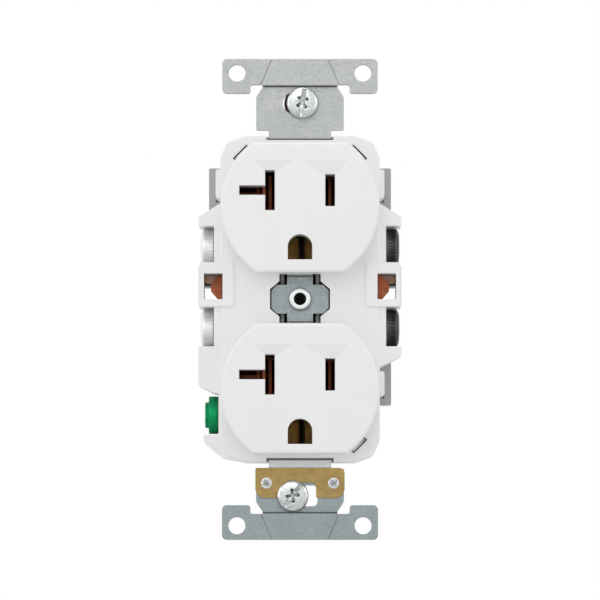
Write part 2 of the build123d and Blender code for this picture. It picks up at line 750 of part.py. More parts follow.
def bus_web(side, end, centre_z):
    """Flat web behind one outlet's contacts, with its arm to the terminal plate."""
    row = centre_z + blade_row
    inner = blade_x - contact_half_foot - contact_t / 2
    outer = min(bus_x[0] - bus_step, cavity_x - 2 * bus_step)
    plate_end = terminals["upper"] + bus_overhang if end > 0 else terminals["lower"] - bus_overhang
    link = sorted((plate_end, plate_end - end * web_arm))
    far_edge = row + end * web_half_height
    arm = sorted((plate_end - end * web_arm, far_edge))
    y = (web_front, web_back)
    web = side_block(side, (inner, outer), y, (row - web_half_height, row + web_half_height))
    web += side_block(side, (outer - web_arm, outer), y, arm)
    return web + side_block(side, (outer - web_arm, bus_x[1]), y, link)


def bus_bar(side):
    """Terminal plates joined by the break-off fin, with a blade contact at each outlet."""
    top = upper_terminal_z + bus_overhang
    foot = lower_terminal_z - bus_overhang
    bar = side_block(side, bus_x, (bus_front, web_back), (foot, top))
    gap_z = (tab_window_z[0] - 0.2, tab_window_z[1] + 0.2)
    bar -= side_block(side, (0, cover_half_width), (0, cover_back), gap_z)
    low = tab_window_z[0]
    high = tab_window_z[1]
    lower = [(bus_x[0], low - 0.6, 0), (bus_x[1], low - 0.6, 0), (bus_x[1], low + 0.1, 0),
             (fin_root_x, low + 0.1, 0.1), (fin_x, fin_flat_z[0], 0.3)]
    upper = [(fin_x, fin_flat_z[1], 0.3), (fin_root_x, high - 0.1, 0.1), (bus_x[1], high - 0.1, 0),
             (bus_x[1], high + 0.6, 0), (bus_x[0], high + 0.6, 0)]
    fin = outline([(side * x, z, r) for x, z, r in lower + upper])
    bar += plate(fin, fin_front, fin_front + fin_t)
    for z in terminals.values():
        bar -= rod_x((side * (bus_x[0] - 1), side * (bus_x[1] + 1)), terminal_y, z, terminal_hole_r)
    for name, centre_z in outlets.items():
        end = 1 if name == "upper" else -1
        bar += bus_web(side, end, centre_z)
        bar += blade_contact(side * blade_x, centre_z, 3.6 if side < 0 else 3.0)
        if side < 0:
            bar += tee_contact(centre_z)
    return bar


# --- Screws and clamp plates ------------------------------------------------------------
def driver_recess(r, depth, slot):
    """Slot and cross of a combination head, about the Z axis, cut down from Z = 0."""
    cut = Pos(0, 0, -depth / 2 + 1) * Box(2 * r + 1, slot, depth + 2)
    span = 2 * cross_share * r
    wing = Box(span, 0.9 * slot, 1.8 * depth + 2) + Box(0.9 * slot, span, 1.8 * depth + 2)
    return cut + Pos(0, 0, 1 - 0.9 * depth) * wing


def terminal_screw_shape(crown_r, shank_length):
    """Terminal screw along Z, head up, with the head's underside at Z = 0."""
    r = terminal_head_r
    top = terminal_head_t + terminal_crown
    if crown_r < r:
        profile = Polyline((0, 0), (r, 0), (r, terminal_head_t - 0.2), (r - 0.2, terminal_head_t),
                           (crown_r, terminal_head_t), (crown_r, top - 0.2), (crown_r - 0.2, top),
                           (0, top), close=True)
    else:
        profile = (Polyline((0, top), (0, 0), (r, 0), (r, terminal_head_t - 0.1))
                   + ThreePointArc((r, terminal_head_t - 0.1), (0.6 * r, top - 0.25), (0, top)))
    head = revolve(Plane.XZ * make_face(profile), Axis.Z)
    head -= Pos(0, 0, top) * driver_recess(crown_r, driver_depth, driver_slot)
    shank = Pos(0, 0, -shank_length / 2) * Cylinder(terminal_shank_r, shank_length)
    return head + chamfer(shank.faces().sort_by(Axis.Z)[0].edges(), 0.5)


def terminal_screw(side, z):
    shape = terminal_screw_shape(terminal_head_r, terminal_shank_length)
    return Pos(side * terminal_head_x, terminal_y, z) * Rot(0, side * 90, 0) * Rot(0, 0, 35) * shape


def ground_screw():
    shape = terminal_screw_shape(ground_crown_r, ground_shank_length)
    return Pos(-ground_head_x, terminal_y, ground_terminal_z) * Rot(0, -90, 0) * Rot(0, 0, 20) * shape


def pressure_plate(side, head_x, z):
    """Square washer between a screw's head and its terminal plate, with grips for the wires."""
    outer = head_x - clamp_gap
    y = (terminal_y - clamp_half_depth, terminal_y + clamp_half_depth)
    shape = side_block(side, (outer - clamp_t, outer), y, (z - clamp_half_width, z + clamp_half_width))
    shape = fillet(shape.edges().filter_by(Axis.X), 0.6)
    for offset in (-wire_hole_offset, wire_hole_offset):
        groove_z = z + offset
        shape -= rod_y(side * (outer - clamp_t - 0.55), groove_z, 0.9, y[0] - 1, y[1] + 1)
    return shape - rod_x((side * (outer - 2), side * (outer + 1)), terminal_y, z, clamp_hole_r)


def mounting_screw(x, end, turn):
    """Combination truss-head screw along Y, with a plain neck behind the head."""
    r = box_head_r
    t = box_head_t
    crown = ThreePointArc((r, 0.35), (0.6 * r, t - 0.22), (0, t))
    profile = Polyline((0, t), (0, 0), (r, 0), (r, 0.35)) + crown
    head = revolve(Plane.XZ * make_face(profile), Axis.Z)
    head -= Pos(0, 0, t) * driver_recess(0.93 * r, 0.75, 1.0)
    neck_length = neck_back + washer_t + 0.5 - box_head_back
    stem = Pos(0, 0, -neck_length / 2) * Cylinder(box_neck_r, neck_length)
    shank_length = box_screw_length - neck_length
    shank = Pos(0, 0, -neck_length - shank_length / 2) * Cylinder(box_thread_r, shank_length)
    shank = chamfer(shank.faces().sort_by(Axis.Z)[0].edges(), 0.6)
    screw = head + stem + shank
    return Pos(x, box_head_back, end * box_screw_z) * Rot(90, 0, 0) * Rot(0, 0, turn) * screw


def screw_washer(x, end):
    """Fibre washer behind the neck that keeps a mounting screw captive."""
    front = neck_back + running_gap
    disc = rod_y(x + washer_shift, end * box_screw_z, washer_r, front, front + washer_t)
    return disc - rod_y(x, end * box_screw_z, washer_hole_r, front - 1, front + washer_t + 1)


def self_ground_clip():
    """Brass clip on the lower neck, with an opening round the mounting screw."""
    half = clip_half_width
    x0, x1 = clip_opening_x
    corners = [(-half, -clip_top_z, 0.4), (half, -clip_top_z, 1.2), (half, -clip_foot_z, 2.0),
               (x1, -clip_foot_z, 0.2), (x1, -clip_opening_z, 0.9), (x0, -clip_opening_z, 2.8),
               (x0, -clip_foot_z, 0.2), (-half, -clip_foot_z, 2.0)]
    sheet = plate(outline(corners), neck_front - clip_t, neck_front)
    for x in (-stake_x, stake_x):
        sheet -= rod_y(x, -stake_z, stake_r, neck_front - 1, neck_front + 1)
    return sheet


def clip_rivets():
    """The two stakes that hold the clip on the neck."""
    front = neck_front - clip_t
    stakes = []
    for x in (-stake_x, stake_x):
        stake = rod_y(x, -stake_z, stake_r, front - stake_head, neck_back + stake_head)
        rims = stake.edges().filter_by(GeomType.CIRCLE)
        stakes.append(chamfer(rims, 0.2))
    return Compound(stakes)


def assembly_clip(x, z, turn):
    """Flat steel tie through the cover and the back body, staked behind the floor."""
    tie = tie_bar(x, z, turn, tie_length, tie_t, deck_front + 0.35, body_back + 0.3)
    tie += tie_bar(x, z, turn, tie_barb, tie_t, deck_back, deck_back + 1.6)
    return tie + tie_bar(x, z, turn, tie_barb, 1.5, body_back, body_back + 0.5)


# --- The assembly -----------------------------------------------------------------------
def assembly():
    """Every piece by node name."""
    pieces = {"front_cover": front_cover(), "back_body": back_body(), "yoke": yoke()}
    pieces["self_ground_clip"] = self_ground_clip()
    pieces["clip_rivets"] = clip_rivets()
    pieces["contact_rivets"] = contact_rivets()
    pieces["ground_terminal"] = ground_terminal()
    for name, centre_z in outlets.items():
        pieces[f"{name}_ground_contact"] = ground_contact(centre_z)
    for name, side in sides.items():
        pieces[f"{name}_bus"] = bus_bar(side)
        for place, z in terminals.items():
            pieces[f"{place}_{name}_screw"] = terminal_screw(side, z)
            pieces[f"{place}_{name}_clamp"] = pressure_plate(side, terminal_head_x, z)
    pieces["ground_screw"] = ground_screw()
    pieces["ground_clamp"] = pressure_plate(-1, ground_head_x, ground_terminal_z)
    screws = [("upper", upper_screw_x, 1, upper_screw_turn), ("lower", lower_screw_x, -1, lower_screw_turn)]
    for name, x, end, turn in screws:
        pieces[f"{name}_mounting_screw"] = mounting_screw(x, end, turn)
        pieces[f"{name}_screw_washer"] = screw_washer(x, end)
    for name, x, z, turn in tie_places():
        pieces[f"{name}_assembly_clip"] = assembly_clip(x, z, turn)
    return pieces


os.makedirs("parts", exist_ok=True)
for node, shape in assembly().items():
    export_step(shape, f"parts/{node}.step")
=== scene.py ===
"""Looks of a duplex wall receptacle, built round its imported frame.

Each sub-assembly is a class with its sizes as fields, and each finish is a frozen dataclass that
makes one procedural material. Lengths of pieces are in millimetres in the classes and are turned
into metres when a mesh is made. X runs to the right, Y into the wall and Z up.
"""

import json
import logging
import math
from dataclasses import dataclass
from enum import Enum
from typing import Callable, Iterable, Sequence

import bmesh
import bpy
from mathutils import Matrix, Vector

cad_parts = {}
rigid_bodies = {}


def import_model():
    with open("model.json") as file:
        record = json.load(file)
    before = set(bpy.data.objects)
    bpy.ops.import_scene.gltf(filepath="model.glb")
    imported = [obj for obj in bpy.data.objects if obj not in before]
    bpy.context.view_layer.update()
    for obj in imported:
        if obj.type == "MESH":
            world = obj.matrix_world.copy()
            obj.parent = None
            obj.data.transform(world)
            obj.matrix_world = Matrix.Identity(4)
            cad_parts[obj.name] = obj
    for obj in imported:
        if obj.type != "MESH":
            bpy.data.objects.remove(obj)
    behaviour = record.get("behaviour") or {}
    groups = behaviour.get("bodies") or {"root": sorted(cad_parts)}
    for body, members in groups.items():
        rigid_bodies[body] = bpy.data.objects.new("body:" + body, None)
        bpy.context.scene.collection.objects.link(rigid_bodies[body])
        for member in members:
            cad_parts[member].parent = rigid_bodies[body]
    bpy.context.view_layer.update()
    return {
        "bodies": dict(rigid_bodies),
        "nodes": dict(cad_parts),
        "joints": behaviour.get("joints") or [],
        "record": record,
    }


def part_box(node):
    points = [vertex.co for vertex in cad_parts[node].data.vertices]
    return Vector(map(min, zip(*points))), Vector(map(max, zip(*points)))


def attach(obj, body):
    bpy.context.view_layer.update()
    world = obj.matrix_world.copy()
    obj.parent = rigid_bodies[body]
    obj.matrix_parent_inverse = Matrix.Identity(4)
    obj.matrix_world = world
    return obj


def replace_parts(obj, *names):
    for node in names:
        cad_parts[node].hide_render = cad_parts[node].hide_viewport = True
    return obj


MM = 0.001
MIX_SHARE, MIX_FIRST, MIX_SECOND, MIX_RESULT = 0, 6, 7, 2
CARVE_WELD = 0.004
CARVE_ANGLE = 38.0
FRAME_WELD = 0.002
FRAME_ANGLE = 40.0
INCH_32_PITCH = 0.794
Point = tuple[float, float]
Colour = tuple[float, float, float]

log = logging.getLogger("receptacle")


# --- Shader maths ---
class Kind(Enum):
    """What a socket carries."""

    VALUE = "value"
    COLOUR = "colour"
    VECTOR = "vector"
    SHADER = "shader"


class Term:
    """A socket that Python operators act on, by adding the node each operator stands for."""

    def __init__(
        self, graph: "Graph", socket: bpy.types.NodeSocket, kind: Kind = Kind.VALUE
    ) -> None:
        """Wraps one output socket.

        Args:
            graph: The node tree that the socket belongs to.
            socket: The output socket.
            kind: What the socket carries.
        """
        self.graph = graph
        self.socket = socket
        self.kind = kind

    def _join(self, other: "Operand", operation: str, swapped: bool = False) -> "Term":
        """Adds the node for one operator.

        Args:
            other: The operator's other side.
            operation: The operation's name, as Math, Mix and Vector Math all have it.
            swapped: Whether the other side comes first.

        Returns:
            The result's term, of the same kind.
        """
        pair = [other, self] if swapped else [self, other]
        if self.kind is Kind.COLOUR:
            return self.graph.blend(1.0, *pair, operation)
        node_type = "ShaderNodeMath"
        if self.kind is Kind.VECTOR:
            node_type = "ShaderNodeVectorMath"
            if not isinstance(other, (Term, tuple)):
                pair = [(other,) * 3 if item is other else item for item in pair]
        settings = {"operation": operation}
        return self.graph.add(node_type, dict(enumerate(pair)), settings, kind=self.kind)

    def __add__(self, other: "Operand") -> "Term":
        """Sum."""
        return self._join(other, "ADD")

    def __radd__(self, other: "Operand") -> "Term":
        """Sum, reflected."""
        return self._join(other, "ADD", swapped=True)

    def __sub__(self, other: "Operand") -> "Term":
        """Difference."""
        return self._join(other, "SUBTRACT")

    def __rsub__(self, other: "Operand") -> "Term":
        """Difference, reflected."""
        return self._join(other, "SUBTRACT", swapped=True)

    def __mul__(self, other: "Operand") -> "Term":
        """Product."""
        return self._join(other, "MULTIPLY")

    def __rmul__(self, other: "Operand") -> "Term":
        """Product, reflected."""
        return self._join(other, "MULTIPLY", swapped=True)

    def at_least(self, other: "Operand") -> "Term":
        """The larger of the value and another."""
        return self._join(other, "MAXIMUM")

    def size(self) -> "Term":
        """The value without its sign."""
        return self.graph.add("ShaderNodeMath", {0: self}, {"operation": "ABSOLUTE"})

    def length(self) -> "Term":
        """The vector's length."""
        settings = {"operation": "LENGTH"}
        return self.graph.add("ShaderNodeVectorMath", {0: self}, settings, "Value")

    def beside(self, output: str | int) -> "Term":
        """Another output of the same node, by name or number."""
        return Term(self.graph, self.socket.node.outputs[output])

    def step(self, low: float, high: float) -> "Term":
        """Smooth step of the value, from 0 at low to 1 at high."""
        values = {"Value": self, "From Min": low, "From Max": high, "To Min": 0.0, "To Max": 1.0}
        return self.graph.add("ShaderNodeMapRange", values, {"interpolation_type": "SMOOTHSTEP"})

    def within(self, limit: float, soft: float) -> "Term":
        """1 where the value is nearer to 0 than the limit, with a soft edge."""
        return self.size().step(limit + soft, limit - soft)


Operand = Term | float | int | tuple


class Graph:
    """The node tree of a material or of the world."""

    def __init__(self, owner: bpy.types.Material | bpy.types.World) -> None:
        """Clears the owner's tree.

        Args:
            owner: The material or world whose nodes are made.
        """
        owner.use_nodes = True
        self.tree = owner.node_tree
        self.tree.nodes.clear()
        self.owner = owner

    def feed(self, socket: bpy.types.NodeSocket, value: Operand) -> None:
        """Links a term to an input socket, or sets the socket's own value.

        Args:
            socket: The input socket.
            value: A term, a number, a colour or a vector.
        """
        if isinstance(value, Term):
            self.tree.links.new(value.socket, socket)
        elif isinstance(value, tuple) and len(value) == 3 and len(socket.default_value) == 4:
            socket.default_value = (*value, 1.0)
        else:
            socket.default_value = value

    def add(
        self,
        node_type: str,
        values: dict[str | int, Operand],
        settings: dict[str, object] | None = None,
        output: str | int = 0,
        kind: Kind = Kind.VALUE,
    ) -> Term | None:
        """Adds any node: its settings first, then the values or links of its sockets.

        Args:
            node_type: Blender's name for the node.
            values: Input sockets by name or number, with their values or links.
            settings: The node's own settings by name.
            output: The output socket, by name or number.
            kind: What that output carries.

        Returns:
            The output socket's term, or None for a node that ends the tree.
        """
        node = self.tree.nodes.new(node_type)
        for name, value in (settings or {}).items():
            setattr(node, name, value)
        for key, value in values.items():
            self.feed(node.inputs[key], value)
        return Term(self, node.outputs[output], kind) if node.outputs else None

    def place(self) -> Term:
        """Position on the piece in millimetres, which moves with it."""
        position = self.add("ShaderNodeTexCoord", {}, output="Object", kind=Kind.VECTOR)
        return position * (1 / MM)

    def shares(self, vector: Term) -> tuple[Term, Term, Term]:
        """The X, Y and Z of a vector."""
        first = self.add("ShaderNodeSeparateXYZ", {0: vector})
        return first, first.beside(1), first.beside(2)

    def crevices(self, reach: float) -> Term:
        """0 in the open and 1 deep in recesses as wide as the reach, in millimetres."""
        settings = {"only_local": True, "samples": 8}
        return 1 - self.add("ShaderNodeAmbientOcclusion", {"Distance": reach * MM}, settings, "AO")

    def local_normal(self) -> Term:
        """Direction that the surface faces, in the piece's own axes."""
        return self.add("ShaderNodeTexCoord", {}, output="Normal", kind=Kind.VECTOR)

    def noise(self, place: Term, scale: float, detail: float = 4.0, rough: float = 0.55) -> Term:
        """Fractal noise from 0 to 1, of so many features per millimetre."""
        values = {"Vector": place, "Scale": scale, "Detail": detail, "Roughness": rough}
        return self.add("ShaderNodeTexNoise", values, output="Fac")

    def flakes(self, place: Term, scale: float) -> Term:
        """A random grey for each crystal, of so many crystals per millimetre."""
        values = {"Vector": place, "Scale": scale}
        cell = self.add("ShaderNodeTexVoronoi", values, output="Color", kind=Kind.COLOUR)
        return self.add("ShaderNodeSeparateColor", {"Color": cell}, output="Red")

    def blend(
        self, share: Operand, first: Operand, second: Operand, operation: str = "MIX"
    ) -> Term:
        """A colour made of two others.

        Args:
            share: Share of the second colour.
            first: The first colour.
            second: The second colour.
            operation: How the second colour acts on the first.

        Returns:
            The blended colour.
        """
        settings = {"data_type": "RGBA", "blend_type": operation}
        values = {MIX_SHARE: share, MIX_FIRST: first, MIX_SECOND: second}
        return self.add("ShaderNodeMix", values, settings, MIX_RESULT, Kind.COLOUR)

    def relief(self, height: Term, depth: float) -> Term:
        """Normal of a surface whose relief is so many millimetres deep."""
        values = {"Strength": 1.0, "Distance": depth * MM, "Height": height}
        return self.add("ShaderNodeBump", values, output="Normal", kind=Kind.VECTOR)

    def finish(self, values: dict[str, Operand]) -> None:
        """Ends the tree in a Principled BSDF with these values or links."""
        self.end(self.add("ShaderNodeBsdfPrincipled", values, kind=Kind.SHADER))

    def end_mixed(self, share: Term, first: Term, second: Term) -> None:
        """Ends the tree in two shaders, mixed by the share of the second."""
        values = {0: share, 1: first, 2: second}
        self.end(self.add("ShaderNodeMixShader", values, kind=Kind.SHADER))

    def end(self, shader: Term) -> None:
        """Links a shader to the owner's output."""
        is_world = isinstance(self.owner, bpy.types.World)
        self.add("ShaderNodeOutputWorld" if is_world else "ShaderNodeOutputMaterial", {0: shader})


# --- Finishes ---
@dataclass(frozen=True)
class Finish:
    """A named surface finish, which makes its material once."""

    name: str

    def material(self) -> bpy.types.Material:
        """The finish's material."""
        made = bpy.data.materials.get(self.name)
        if made is None:
            made = bpy.data.materials.new(self.name)
            self.draw(Graph(made))
        return made

    def draw(self, graph: Graph) -> None:
        """Builds the finish's nodes in a material's tree."""
        raise NotImplementedError


@dataclass(frozen=True)
class MouldedPlastic(Finish):
    """Injection-moulded plastic: even colour, faint flow marks and a fine mould texture."""

    colour: Colour
    shade: Colour
    gloss: float = 0.3
    texture_depth: float = 0.004
    texture_scale: float = 6.0
    flow_stretch: Colour = (0.35, 0.35, 0.12)
    flow_scale: float = 0.35
    speck_scale: float = 9.0
    gloss_spread: float = 0.16

    def draw(self, graph: Graph) -> None:
        """Builds the plastic's nodes.

        Args:
            graph: The material's tree.
        """
        place = graph.place()
        flow = graph.noise(place * self.flow_stretch, self.flow_scale, 3.0).step(0.35, 0.7)
        specks = graph.noise(place, self.speck_scale, 2.0).step(0.66, 0.74)
        colour = graph.blend(flow * 0.6 + specks * 0.25, self.colour, self.shade)
        grain = graph.noise(place, self.texture_scale, 3.0, 0.6)
        rough = self.gloss + (graph.noise(place, 1.4, 3.0) - 0.5) * self.gloss_spread
        graph.finish({
            "Base Color": colour,
            "Roughness": rough,
            "Normal": graph.relief(grain, self.texture_depth),
            "Specular IOR Level": 0.5,
        })


@dataclass(frozen=True)
class GalvanisedSteel(Finish):
    """Zinc-coated sheet: frosted crystals and fine mottle, with painted shade and painted
    highlights.

    The heights, widths and radii say where the painted shade, the painted highlights and the cooler
    tone lie on the strap, in millimetres: its centre plate, foot and ledge, the bend lines, what
    the outlets cover, and the tapped hole's ring.
    """

    light: Colour
    dark: Colour
    cool_light: Colour
    cool_dark: Colour
    # painted_shade: colour of the painted shade on turned edges, at the bend lines and under the
    # cover.
    painted_shade: Colour = (0.03, 0.03, 0.03)
    # painted_highlight: colour of the painted highlights on the tongue, the boss ring and the lower
    # ear's upward edge.
    painted_highlight: Colour = (0.85, 0.88, 0.88)
    roughness: float = 0.42
    crystal_scale: float = 2.6
    mottle: float = 0.5
    middle: float = 9.0
    foot: float = -36.2
    ledge_top: float = -30.5
    covered: float = 34.15
    # Level and half width of the painted shade lines at the joggle bend and along the centre
    # window's top.
    joggle: Point = (45.25, 8.2)
    window_top_shade: Point = (4.85, 2.8)
    line_reach: float = 0.17
    ear_foot: float = -42.0
    ear_half_width: float = 9.8
    boss_radius: float = 2.45
    boss_front: float = -0.225
    relief_depth: float = 0.012

    def draw(self, graph: Graph) -> None:
        """Builds the steel's nodes.

        Args:
            graph: The material's tree.
        """
        place = graph.place()
        across, depth, height = graph.shares(place)
        warp = graph.noise(place, 2.2, 3.0) * 0.5
        crystals = graph.flakes(place + warp, self.crystal_scale)
        fine = graph.noise(place, 7.5, 5.0, 0.7)
        brushed = graph.noise(place * (0.35, 1.0, 7.0), 1.6, 4.0, 0.7)
        cloud = graph.noise(place, 0.2, 3.0)
        share = crystals * 0.3 + fine.step(0.3, 0.7) * self.mottle
        share = share + (cloud - 0.5) * 0.7 + (brushed - 0.5) * 0.5
        warm_tone = graph.blend(share, self.light, self.dark)
        cool_tone = graph.blend(share, self.cool_light, self.cool_dark)
        frost = graph.noise(place, 3.4, 4.0, 0.75).step(0.5, 0.62)
        frost = frost * height.within(self.middle - 1.0, 1.0)
        cool_tone = graph.blend(frost * 0.55, cool_tone, self.light)
        cool = height.step(self.foot + 0.3, self.foot - 0.3) + height.within(self.middle, 1.0)
        # Painted highlight on the tongue, the ledge between the foot and the ledge top.
        ledge = height.step(self.foot + 0.4, self.foot + 0.7)
        ledge = ledge * height.step(self.ledge_top + 0.5, self.ledge_top - 0.5)
        colour = graph.blend(ledge * 0.5, graph.blend(cool, warm_tone, cool_tone), self.painted_highlight)
        # Painted highlight on the ring round the tapped hole.
        boss = (place * (1.0, 0.0, 1.0)).length().within(self.boss_radius, 0.05)
        boss = boss * depth.step(self.boss_front + 0.125, self.boss_front - 0.125)
        colour = graph.blend(boss * 0.85, colour, self.painted_highlight)
        colour = self.marks(graph, colour, boss, across, height)
        graph.finish({
            "Base Color": colour,
            "Metallic": 1.0,
            "Roughness": self.roughness + crystals * 0.12 + (fine - 0.5) * 0.2,
            "Normal": graph.relief(
                fine * 0.5 + crystals * 0.2 + brushed * 0.3, self.relief_depth
            ),
        })

    def marks(self, graph: Graph, colour: Term, boss: Term, across: Term, height: Term) -> Term:
        """Adds painted shade on turned edges, a painted highlight on the lower ear's upward edge,
        painted shade lines at the bends and painted shade where the cover hides the strap.

        Args:
            graph: The material's tree.
            colour: The colour so far.
            boss: Mask of the ring round the tapped hole, which gets a painted highlight and no
                painted shade.
            across: Distance across the strap.
            height: Distance along the strap.

        Returns:
            The colour.
        """
        # Painted shade on the strap's turned edges and groove walls, kept off the boss ring.
        _, turn_y, turn_z = graph.shares(graph.local_normal())
        turned = (1 - turn_y * turn_y).step(0.06, 0.5)
        colour = graph.blend(turned * (1 - boss) * 0.7, colour, self.painted_shade)
        # Painted highlight on the lower ear's upward-facing edges.
        lit = turned * turn_z.step(-0.05, 0.1)
        lit = lit * height.step(self.ear_foot + 2.0, self.ear_foot - 2.0)
        colour = graph.blend(lit * across.within(self.ear_half_width, 0.2), colour, self.painted_highlight)
        # Painted shade lines at the joggle bend and along the top of the centre window.
        for level, half_width in (self.joggle, self.window_top_shade):
            line = (height.size() - level).within(self.line_reach, 0.09)
            line = line * across.within(half_width, 0.1)
            colour = graph.blend(line * 0.75, colour, self.painted_shade)
        # Painted shade on the strap from the centre plate out to the cover's edge, where the cover
        # hides it.
        hidden = height.size().step(self.middle, self.middle + 4)
        hidden = hidden * height.within(self.covered, 0.15)
        return graph.blend(hidden * 0.85, colour, self.painted_shade)


@dataclass(frozen=True)
class RolledBrass(Finish):
    """Rolled copper alloy: rolling lines, brown tarnish clouds and bright rubbed spots."""

    bright: Colour
    tarnish: Colour
    roughness: float = 0.36
    cloud_share: float = 0.6
    rolling_stretch: Colour = (0.4, 6.0, 6.0)
    relief_depth: float = 0.008

    def draw(self, graph: Graph) -> None:
        """Builds the alloy's nodes.

        Args:
            graph: The material's tree.
        """
        place = graph.place()
        rolling = graph.noise(place * self.rolling_stretch, 1.1, 4.0, 0.65)
        clouds = graph.noise(place, 0.55, 5.0, 0.65)
        spots = graph.noise(place, 4.5, 4.0, 0.7).step(0.56, 0.7)
        share = clouds.step(0.32, 0.68) * self.cloud_share + spots * 0.3
        colour = graph.blend(share, self.bright, self.tarnish)
        rough = self.roughness + (rolling - 0.5) * 0.3 + spots * 0.1
        graph.finish({
            "Base Color": colour,
            "Metallic": 1.0,
            "Roughness": rough,
            "Normal": graph.relief(rolling * 0.6 + spots * 0.4, self.relief_depth),
        })


@dataclass(frozen=True)
class PlatedSteel(Finish):
    """Plated or blackened screw steel: tool marks, dark flecks, painted shade in recesses, worn
    edges with a painted highlight.
    """

    plate: Colour
    fleck: Colour
    worn_highlight_tone: Colour
    roughness: float = 0.25
    fleck_share: float = 0.4
    metal: float = 1.0
    fleck_scale: float = 2.6
    recess: float = 0.9
    recess_shade: float = 0.8
    # painted_shade_tone: darkness of the painted recess shade, as a share of the fleck colour.
    painted_shade_tone: float = 0.35
    # wear_and_highlight: strength of the lighter edges, which are worn plating and a painted
    # highlight.
    wear_and_highlight: float = 0.5
    grit_scale: float = 11.0
    relief_depth: float = 0.014

    def draw(self, graph: Graph) -> None:
        """Builds the plating's nodes.

        Args:
            graph: The material's tree.
        """
        place = graph.place()
        blotch = graph.noise(place, self.fleck_scale, 5.0, 0.7)
        grit = graph.noise(place, self.grit_scale, 3.0, 0.6)
        share = blotch.step(0.46, 0.64) * self.fleck_share + grit.step(0.6, 0.75) * 0.2
        colour = graph.blend(share, self.plate, self.fleck)
        # Painted shade in the recesses, from ambient occlusion.
        sunk = graph.crevices(self.recess).step(0.12, 0.5) * (0.6 + blotch * 0.8)
        painted_shade_tone = tuple(self.painted_shade_tone * channel for channel in self.fleck)
        colour = graph.blend(sunk * self.recess_shade, colour, painted_shade_tone)
        # Lighter sharp edges, from pointiness: worn plating and a painted highlight.
        edge = graph.add("ShaderNodeNewGeometry", {}, output="Pointiness").step(0.51, 0.56)
        colour = graph.blend(edge * self.wear_and_highlight * (0.4 + grit), colour, self.worn_highlight_tone)
        rough = self.roughness + blotch.step(0.4, 0.7) * 0.15 + (grit - 0.5) * 0.15
        graph.finish({
            "Base Color": colour,
            "Metallic": self.metal,
            "Roughness": rough,
            "Normal": graph.relief(blotch * 0.5 + grit * 0.5, self.relief_depth),
        })


WHITE_PLASTIC = MouldedPlastic("cover_nylon", (0.87, 0.87, 0.87), (0.845, 0.845, 0.84), 0.32)
GREY_PLASTIC = MouldedPlastic(
    "body_resin", (0.41, 0.41, 0.41), (0.36, 0.365, 0.37), 0.5, 0.012, texture_scale=4.0
)
FIBRE = MouldedPlastic(
    "washer_fibre", (0.10, 0.055, 0.035), (0.06, 0.035, 0.025), 0.7, 0.02, texture_scale=3.0
)
STRAP_STEEL = GalvanisedSteel(
    "strap_zinc",
    (0.5, 0.515, 0.51),
    (0.33, 0.345, 0.345),
    (0.34, 0.385, 0.39),
    (0.24, 0.275, 0.285),
)
TIE_STEEL = GalvanisedSteel(
    "tie_strip",
    (0.5, 0.49, 0.46),
    (0.3, 0.29, 0.27),
    (0.42, 0.4, 0.35),
    (0.25, 0.24, 0.2),
    roughness=0.35,
    covered=0.0,
)
CLIP_BRASS = RolledBrass("clip_strip", (0.42, 0.29, 0.11), (0.26, 0.18, 0.075))
CONTACT_BRASS = RolledBrass("contact_strip", (0.86, 0.7, 0.44), (0.5, 0.39, 0.21), 0.4)
BUS_COPPER = RolledBrass("bus_strip", (0.40, 0.125, 0.06), (0.19, 0.06, 0.03))
LUG_STRIP = RolledBrass("lug_strip", (0.5, 0.34, 0.25), (0.32, 0.21, 0.15), 0.45)
BLACK_OXIDE = PlatedSteel(
    "black_oxide", (0.022, 0.023, 0.026), (0.07, 0.07, 0.075), (0.4, 0.4, 0.4), 0.3, metal=0.9
)
NICKEL = PlatedSteel(
    "nickel_plate", (0.84, 0.84, 0.84), (0.76, 0.765, 0.77), (0.9, 0.9, 0.9), 0.5, fleck_share=0.25
)
GREEN = PlatedSteel(
    "green_passivate", (0.0, 0.29, 0.1), (0.0, 0.22, 0.08), (0.02, 0.4, 0.16), 0.5, 0.35, metal=0.8
)
ZINC = PlatedSteel(
    "bright_zinc", (0.7, 0.72, 0.72), (0.22, 0.25, 0.255), (0.9, 0.92, 0.92), 0.22, 0.5, 1.0, 1.9
)
STAKE_ZINC = PlatedSteel(
    "staked_zinc",
    (0.7, 0.71, 0.72),
    (0.2, 0.21, 0.23),
    (0.9, 0.9, 0.9),
    0.26,
    0.85,
    fleck_scale=4.2,
    recess=0.5,
)
CLAMP_STEEL = PlatedSteel(
    "clamp_plate", (0.6, 0.6, 0.59), (0.4, 0.4, 0.39), (0.75, 0.75, 0.74), 0.35, fleck_share=0.5
)


# --- Mesh making ---
def linked(name: str, data: bpy.types.ID) -> bpy.types.Object:
    """A new object in the scene that shows some data."""
    made = bpy.data.objects.new(name, data)
    bpy.context.scene.collection.objects.link(made)
    return made


def new_piece(
    name: str, mesh: bpy.types.Mesh, finish: Finish, body: str
) -> bpy.types.Object:
    """Puts a mesh into the scene as a piece that rides on a body.

    Args:
        name: The piece's name.
        mesh: Its mesh, in metres and in place.
        finish: Its surface finish.
        body: The body it moves with.

    Returns:
        The new object.
    """
    piece = linked(name, mesh)
    mesh.materials.clear()
    mesh.materials.append(finish.material())
    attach(piece, body)
    return piece


